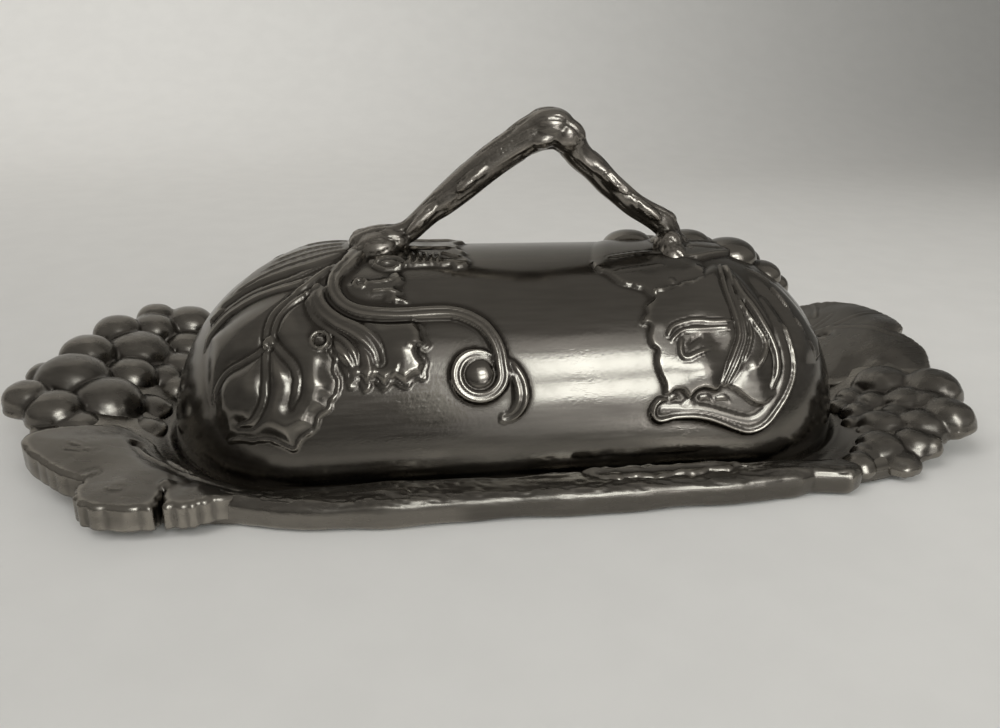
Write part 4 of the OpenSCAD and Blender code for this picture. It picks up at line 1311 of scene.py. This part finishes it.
def node(tree: bpy.types.NodeTree, kind: str, settings: dict | None = None,
         inputs: dict | None = None) -> bpy.types.Node:
    """Adds a node.

    Args:
        tree: The tree that it goes in.
        kind: Blender's name of the node type.
        settings: Properties to set on the node.
        inputs: Values for its sockets, or sockets to link to them, by socket name or number.

    Returns:
        The node.
    """
    made = tree.nodes.new(kind)
    for key, value in (settings or {}).items():
        setattr(made, key, value)
    for key, value in (inputs or {}).items():
        if isinstance(value, bpy.types.NodeSocket):
            tree.links.new(value, made.inputs[key])
        else:
            made.inputs[key].default_value = value
    return made


@dataclass(frozen=True)
class WornMetal:
    """Cast aluminium with a dark pewter finish, rubbed back on the proud parts.

    Dark, slightly warm metal. Hollows stay nearly black and dull, proud edges are rubbed bright, and
    the smooth fields carry fine rubbing marks and cloudy tarnish.
    """

    name: str
    field_colour: str = "#6c6862"
    hollow_colour: str = "#4a4641"
    proud_colour: str = "#87827a"
    roughness: float = 0.17
    hollow_roughness: float = 0.3
    cloud_mm: float = 26.0
    cloud_depth: float = 0.12
    rub_mm: tuple[float, float, float] = (14.0, 1.2, 1.2)
    rub_roughness: float = 0.06
    grain_mm: float = 0.9
    grain_depth_mm: float = 0.015
    dent_mm: float = 14.0
    dent_depth_mm: float = 0.05
    scuff_mm: tuple[float, float, float] = (2.6, 0.9, 0.9)
    scuff_depth_mm: float = 0.0

    def material(self) -> bpy.types.Material:
        """Makes the material."""
        made = bpy.data.materials.new(self.name)
        made.use_nodes = True
        tree = made.node_tree
        tree.nodes.clear()
        place = node(tree, "ShaderNodeTexCoord").outputs["Object"]
        wear = node(tree, "ShaderNodeAttribute", {"attribute_name": "wear"}).outputs["Fac"]

        def noise_at(size: tuple[float, float, float], detail: float) -> bpy.types.NodeSocket:
            """Noise whose lumps have a size in millimetres."""
            at = node(tree, "ShaderNodeMapping", None, {"Vector": place, "Scale": tuple(1 / (s * MM) for s in size)})
            return node(tree, "ShaderNodeTexNoise", None,
                        {"Vector": at.outputs[0], "Scale": 1.0, "Detail": detail, "Roughness": 0.55}).outputs["Fac"]

        def share(value: bpy.types.NodeSocket, low: float, high: float, to_low: float = 0.0,
                  to_high: float = 1.0) -> bpy.types.NodeSocket:
            """A value spread from one range to another, with soft ends."""
            return node(tree, "ShaderNodeMapRange", {"interpolation_type": "SMOOTHSTEP"},
                        {"Value": value, "From Min": low, "From Max": high, "To Min": to_low,
                         "To Max": to_high}).outputs[0]

        def mixed(factor: bpy.types.NodeSocket, first: object, second: object,
                  blend: str = "MIX") -> bpy.types.NodeSocket:
            """A mix of two colours."""
            return node(tree, "ShaderNodeMix", {"data_type": "RGBA", "blend_type": blend},
                        {0: factor, 6: first, 7: second}).outputs[2]

        def sums(kind: str, first: object, second: object) -> bpy.types.NodeSocket:
            """A sum or product."""
            return node(tree, "ShaderNodeMath", {"operation": kind}, {0: first, 1: second}).outputs[0]

        cloud = noise_at((self.cloud_mm,) * 3, 4.0)
        rub = noise_at(self.rub_mm, 3.0)
        grain = noise_at((self.grain_mm,) * 3, 2.0)
        dent = noise_at((self.dent_mm,) * 3, 1.0)
        hollow = share(wear, 0.18, 0.5)
        proud = share(wear, 0.6, 0.92)
        colour = mixed(hollow, srgb(self.hollow_colour), srgb(self.field_colour))
        colour = mixed(proud, colour, srgb(self.proud_colour))
        shade = share(cloud, 0.3, 0.7, 1 - self.cloud_depth, 1 + self.cloud_depth * 0.4)
        shade = sums("MULTIPLY", shade, share(rub, 0.3, 0.7, 0.94, 1.05))
        colour = mixed(1.0, colour, shade, "MULTIPLY")
        rough = share(hollow, 0.0, 1.0, self.hollow_roughness, self.roughness)
        rough = sums("ADD", rough, share(rub, 0.3, 0.7, -0.5 * self.rub_roughness, 0.5 * self.rub_roughness))
        rough = sums("ADD", rough, share(cloud, 0.35, 0.65, 0.04, -0.03))
        fine = node(tree, "ShaderNodeBump", None, {"Strength": 1.0, "Distance": self.grain_depth_mm * MM, "Height": grain})
        broad = node(tree, "ShaderNodeBump", None, {"Strength": 1.0, "Distance": self.dent_depth_mm * MM,
                                                    "Height": dent, "Normal": fine.outputs[0]})
        marks = sums("MULTIPLY", share(noise_at(self.scuff_mm, 2.0), 0.54, 0.7), share(cloud, 0.52, 0.62))
        scuffs = node(tree, "ShaderNodeBump", None, {"Strength": 1.0, "Distance": self.scuff_depth_mm * MM,
                                                     "Height": marks, "Normal": broad.outputs[0]})
        shader = node(tree, "ShaderNodeBsdfPrincipled", None,
                      {"Base Color": colour, "Metallic": 1.0, "Roughness": rough, "Normal": scuffs.outputs[0]})
        node(tree, "ShaderNodeOutputMaterial", None, {"Surface": shader.outputs[0]})
        return made


@dataclass
class Studio:
    """The camera at the photograph's angle, the pale sweep and the soft lights."""

    camera_mm: tuple[float, float, float] = (-41.07, -220.0, 108.63)
    yaw: float = 0.166605
    pitch: float = 0.391689
    roll: float = 0.0287516
    lens: float = 30.6
    sweep_colour: str = "#eceae6"
    room_colour: str = "#fbf8f2"
    room_seen: float = 0.62
    # Painted shade and painted light that only the metal's reflections see: the paper in front of the dish is dimmed to
    # a share of its tone, and a few boxes on it (x from, x to, y from, y to, gain) are brightened as painted pools of
    # light.
    mirrored_shade_edge: tuple[float, float] = (-0.135, -0.115)
    before: float = 0.6
    painted_light_spots: tuple[tuple[float, ...], ...] = ((-0.026, 0.006, -0.145, -0.08, 1.35), (0.049, 0.074, -0.136, -0.082, 2.1),
                                                  (-0.1, -0.02, -0.075, -0.045, 1.6))

    def add_camera(self) -> None:
        """Adds the camera."""
        ahead = Vector((math.sin(self.yaw) * math.cos(self.pitch), math.cos(self.yaw) * math.cos(self.pitch),
                        -math.sin(self.pitch)))
        right = Vector((math.cos(self.yaw), -math.sin(self.yaw), 0))
        up = right.cross(ahead)
        x = right * math.cos(self.roll) + up * math.sin(self.roll)
        y = up * math.cos(self.roll) - right * math.sin(self.roll)
        z = -ahead
        lens = bpy.data.cameras.new("photo_camera")
        lens.lens = self.lens
        lens.sensor_width = 36
        lens.clip_start = 0.01
        camera = bpy.data.objects.new("photo_camera", lens)
        camera.matrix_world = Matrix((x, y, z)).transposed().to_4x4()
        camera.matrix_world.translation = Vector(self.camera_mm) * MM
        bpy.context.scene.collection.objects.link(camera)
        bpy.context.scene.camera = camera

    def add_light(self, name: str, place: tuple[float, float, float], aim: tuple[float, float, float],
                  size: tuple[float, float], radiance: float, tint: str = "#ffffff") -> bpy.types.Object:
        """Adds a soft panel of light.

        Args:
            name: Name of the light.
            place: Its middle, in metres.
            aim: Where it points, in metres.
            size: Its width and height, in metres.
            radiance: How bright its face is, where 1 is white.
            tint: Its colour.

        Returns:
            The light.
        """
        panel = bpy.data.lights.new(name, "AREA")
        panel.shape = "RECTANGLE"
        panel.size, panel.size_y = size
        panel.energy = radiance * math.pi * size[0] * size[1]
        panel.color = srgb(tint)[:3]
        lamp = bpy.data.objects.new(name, panel)
        lamp.visible_camera = False
        lamp.location = place
        lamp.rotation_euler = (Vector(aim) - Vector(place)).to_track_quat("-Z", "Y").to_euler()
        bpy.context.scene.collection.objects.link(lamp)
        return lamp

    def add_sweep(self) -> None:
        """Adds the pale floor that curves up into a wall."""
        back, radius, wide, front, tall = 0.75, 0.35, 2.4, -1.3, 1.6
        turn = np.linspace(0, math.pi / 2, 16)
        line = [(front, 0.0), (-0.4, 0.0), (0.0, 0.0), (0.35, 0.0)]
        line += [(back - radius + radius * math.sin(a), radius - radius * math.cos(a)) for a in turn]
        line += [(back, tall)]
        points = [(x, y, z) for y, z in line for x in (-wide, wide)]
        faces = [(2 * k, 2 * k + 1, 2 * k + 3, 2 * k + 2) for k in range(len(line) - 1)]
        mesh = bpy.data.meshes.new("paper_sweep")
        mesh.from_pydata(points, [], faces)
        mesh.polygons.foreach_set("use_smooth", [True] * len(mesh.polygons))
        paper = bpy.data.objects.new("paper_sweep", mesh)
        bpy.context.scene.collection.objects.link(paper)
        mesh.materials.append(self.paper())

    def paper(self) -> bpy.types.Material:
        """Makes the matt paper: pale and faintly mottled, with painted shade that darkens the wall to the right, the
        floor to the left and the far front, and a painted darker front with painted light spots that only the metal's
        reflections see.
        """
        made = bpy.data.materials.new("matt_paper")
        made.use_nodes = True
        tree = made.node_tree
        shader = tree.nodes["Principled BSDF"]
        shader.inputs["Roughness"].default_value = 0.9
        shader.inputs["Specular IOR Level"].default_value = 0.1
        place = node(tree, "ShaderNodeTexCoord").outputs["Object"]
        x, y, _ = node(tree, "ShaderNodeSeparateXYZ", None, {0: place}).outputs

        def share(value: bpy.types.NodeSocket, low: float, high: float, first: float,
                  last: float) -> bpy.types.NodeSocket:
            """A value that runs softly from first to last."""
            return node(tree, "ShaderNodeMapRange", {"interpolation_type": "SMOOTHSTEP"},
                        {"Value": value, "From Min": low, "From Max": high, "To Min": first, "To Max": last}).outputs[0]

        fibre = node(tree, "ShaderNodeTexNoise", None, {"Vector": place, "Scale": 60.0, "Detail": 4.0}).outputs["Fac"]
        # Painted shade: the floor darkens to the left and the wall darkens to the right.
        floor = share(x, -0.35, 0.2, 0.70, 0.92)
        wall = share(x, -0.25, 0.75, 1.0, 0.40)
        back = share(y, 0.0, 0.6, 0.0, 1.0)
        painted_tone = node(tree, "ShaderNodeMix", {"data_type": "FLOAT"}, {0: back, 2: floor, 3: wall}).outputs[0]
        # Painted shade and painted light for the metal's reflections only: the paper in front of the dish is dimmer
        # there, with brighter painted spots on it.
        mirrored = node(tree, "ShaderNodeLightPath").outputs["Is Glossy Ray"]
        seen = share(y, *self.mirrored_shade_edge, self.before, 1.0)
        for left, right, near, far, painted_gain in self.painted_light_spots:
            painted_spot = share(x, left - 0.004, left + 0.004, 0.0, 1.0)
            for side in (share(x, right - 0.004, right + 0.004, 1.0, 0.0), share(y, near - 0.004, near + 0.004, 0.0, 1.0),
                         share(y, far - 0.004, far + 0.004, 1.0, 0.0)):
                painted_spot = node(tree, "ShaderNodeMath", {"operation": "MULTIPLY"}, {0: painted_spot, 1: side}).outputs[0]
            painted_lit = node(tree, "ShaderNodeMath", {"operation": "MULTIPLY"}, {0: seen, 1: painted_gain}).outputs[0]
            seen = node(tree, "ShaderNodeMix", {"data_type": "FLOAT"}, {0: painted_spot, 2: seen, 3: painted_lit}).outputs[0]
        # Painted shade: rays other than reflections see the floor darken towards its far front; reflections get the
        # painted front above instead.
        front = node(tree, "ShaderNodeMix", {"data_type": "FLOAT"},
                     {0: mirrored, 2: share(y, -1.3, -0.45, 0.7, 1.0), 3: seen}).outputs[0]
        for value in (front, share(fibre, 0.3, 0.7, 0.985, 1.01)):
            painted_tone = node(tree, "ShaderNodeMath", {"operation": "MULTIPLY"}, {0: painted_tone, 1: value}).outputs[0]
        colour = node(tree, "ShaderNodeMix", {"data_type": "RGBA", "blend_type": "MULTIPLY"},
                      {0: 1.0, 6: srgb(self.sweep_colour), 7: painted_tone}).outputs[2]
        tree.links.new(colour, shader.inputs["Base Color"])
        bump = node(tree, "ShaderNodeBump", None, {"Strength": 0.2, "Distance": 0.0002, "Height": fibre})
        tree.links.new(bump.outputs[0], shader.inputs["Normal"])
        across = node(tree, "ShaderNodeMath", {"operation": "ABSOLUTE"}, {0: x}).outputs[0]
        away = node(tree, "ShaderNodeMath", {"operation": "MAXIMUM"},
                    {0: share(across, 1.15, 2.2, 0.0, 1.0), 1: share(y, -1.2, -0.45, 1.0, 0.0)}).outputs[0]
        seen = node(tree, "ShaderNodeLightPath").outputs["Is Camera Ray"]
        away = node(tree, "ShaderNodeMath", {"operation": "MULTIPLY"}, {0: away, 1: seen}).outputs[0]
        haze = node(tree, "ShaderNodeEmission", None, {"Color": srgb(self.room_colour), "Strength": self.room_seen})
        both = node(tree, "ShaderNodeMixShader", None, {0: away, 1: shader.outputs[0], 2: haze.outputs[0]})
        tree.links.new(both.outputs[0], tree.nodes["Material Output"].inputs["Surface"])
        return made

    def add_lights(self) -> None:
        """Adds the soft panels and the dim room."""
        aim = (0.015, -0.035, 0.035)
        self.add_light("upper_window", (0.397, -1.145, 0.969), aim, (0.46, 0.31), 6.4, "#f8ffff")
        self.add_light("lower_window", (0.444, -1.343, 0.622), aim, (0.50, 0.27), 6.3, "#f8ffff")
        self.add_light("window_haze", (0.648, -1.683, 0.974), aim, (1.2, 2.2), 0.85)
        self.add_light("edge_window", (0.73, -1.057, 0.671), aim, (0.26, 0.5), 1.6)
        card = self.add_light("right_card", (0.35, -0.78, 0.045), (0.035, 0, 0.03), (0.13, 0.12), 3.2)
        card.visible_diffuse = False
        fill = self.add_light("paper_fill", (-0.9, -0.5, 1.3), (-0.2, 0.4, 0.2), (1.0, 1.0), 3.0)
        fill.visible_glossy = False
        world = bpy.data.worlds.new("dim_room")
        world.use_nodes = True
        tree = world.node_tree
        tree.nodes.clear()
        facing = node(tree, "ShaderNodeTexCoord").outputs["Generated"]
        right, _, height = node(tree, "ShaderNodeSeparateXYZ", None, {0: facing}).outputs
        room = node(tree, "ShaderNodeMapRange", {"interpolation_type": "SMOOTHSTEP"},
                    {"Value": height, "From Min": 0.0, "From Max": 0.5, "To Min": 0.2, "To Max": 0.36}).outputs[0]
        left = node(tree, "ShaderNodeMapRange", {"interpolation_type": "SMOOTHSTEP"},
                    {"Value": right, "From Min": -0.6, "From Max": 0.15, "To Min": 0.88, "To Max": 1.0}).outputs[0]
        room = node(tree, "ShaderNodeMath", {"operation": "MULTIPLY"}, {0: room, 1: left}).outputs[0]
        seen = node(tree, "ShaderNodeLightPath").outputs["Is Camera Ray"]
        strength = node(tree, "ShaderNodeMix", {"data_type": "FLOAT"}, {0: seen, 2: room, 3: self.room_seen}).outputs[0]
        ground = node(tree, "ShaderNodeBackground", None, {"Color": srgb(self.room_colour), "Strength": strength})
        node(tree, "ShaderNodeOutputWorld", None, {"Surface": ground.outputs[0]})
        bpy.context.scene.world = world

    def build(self) -> None:
        """Sets the stage."""
        self.add_camera()
        self.add_sweep()
        self.add_lights()
        bpy.context.scene.view_settings.view_transform = "Standard"


def main() -> None:
    """Builds the dish round its frame."""
    logging.basicConfig(level=logging.INFO, format="%(name)s: %(message)s")
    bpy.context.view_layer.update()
    Studio().build()
    cover = Cover()
    form = CoverForm.from_frame()
    shell, grapes = cover.build_shell(form), cover.build_grapes(form)
    handle = Handle(top_z=form.rim_z + form.height).build()
    screws = Screws().build()
    tray = Tray().build()
    finishes = {Slot.COVER: WornMetal("dark_pewter_rubbed_smooth", scuff_depth_mm=0.007),
                Slot.TRAY: WornMetal("dark_pewter_as_cast", hollow_colour="#5a5651", roughness=0.27, rub_mm=(8.0, 2.0, 2.0), rub_roughness=0.07),
                Slot.HANDLE: WornMetal("dark_pewter_bark", "#7b766f", "#524e48", "#928c84", 0.25, rub_mm=(6.0, 1.5, 1.5)),
                Slot.SCREW: WornMetal("bright_screw_steel", "#b4b2ae", "#8c8a86", "#cfcdc9", 0.26, rub_mm=(0.5, 0.5, 4.0))}
    materials = {slot: finish.material() for slot, finish in finishes.items()}
    for slot, pieces in ((Slot.COVER, [shell, grapes]), (Slot.HANDLE, [handle]), (Slot.SCREW, [screws]),
                         (Slot.TRAY, tray)):
        for piece in pieces:
            add_wear(piece, 2.2, 0.4)
            piece.data.materials.clear()
            piece.data.materials.append(materials[slot])
            LOG.info("%s is dressed in %s", piece.name, materials[slot].name)


if __name__ == "__main__":
    main()
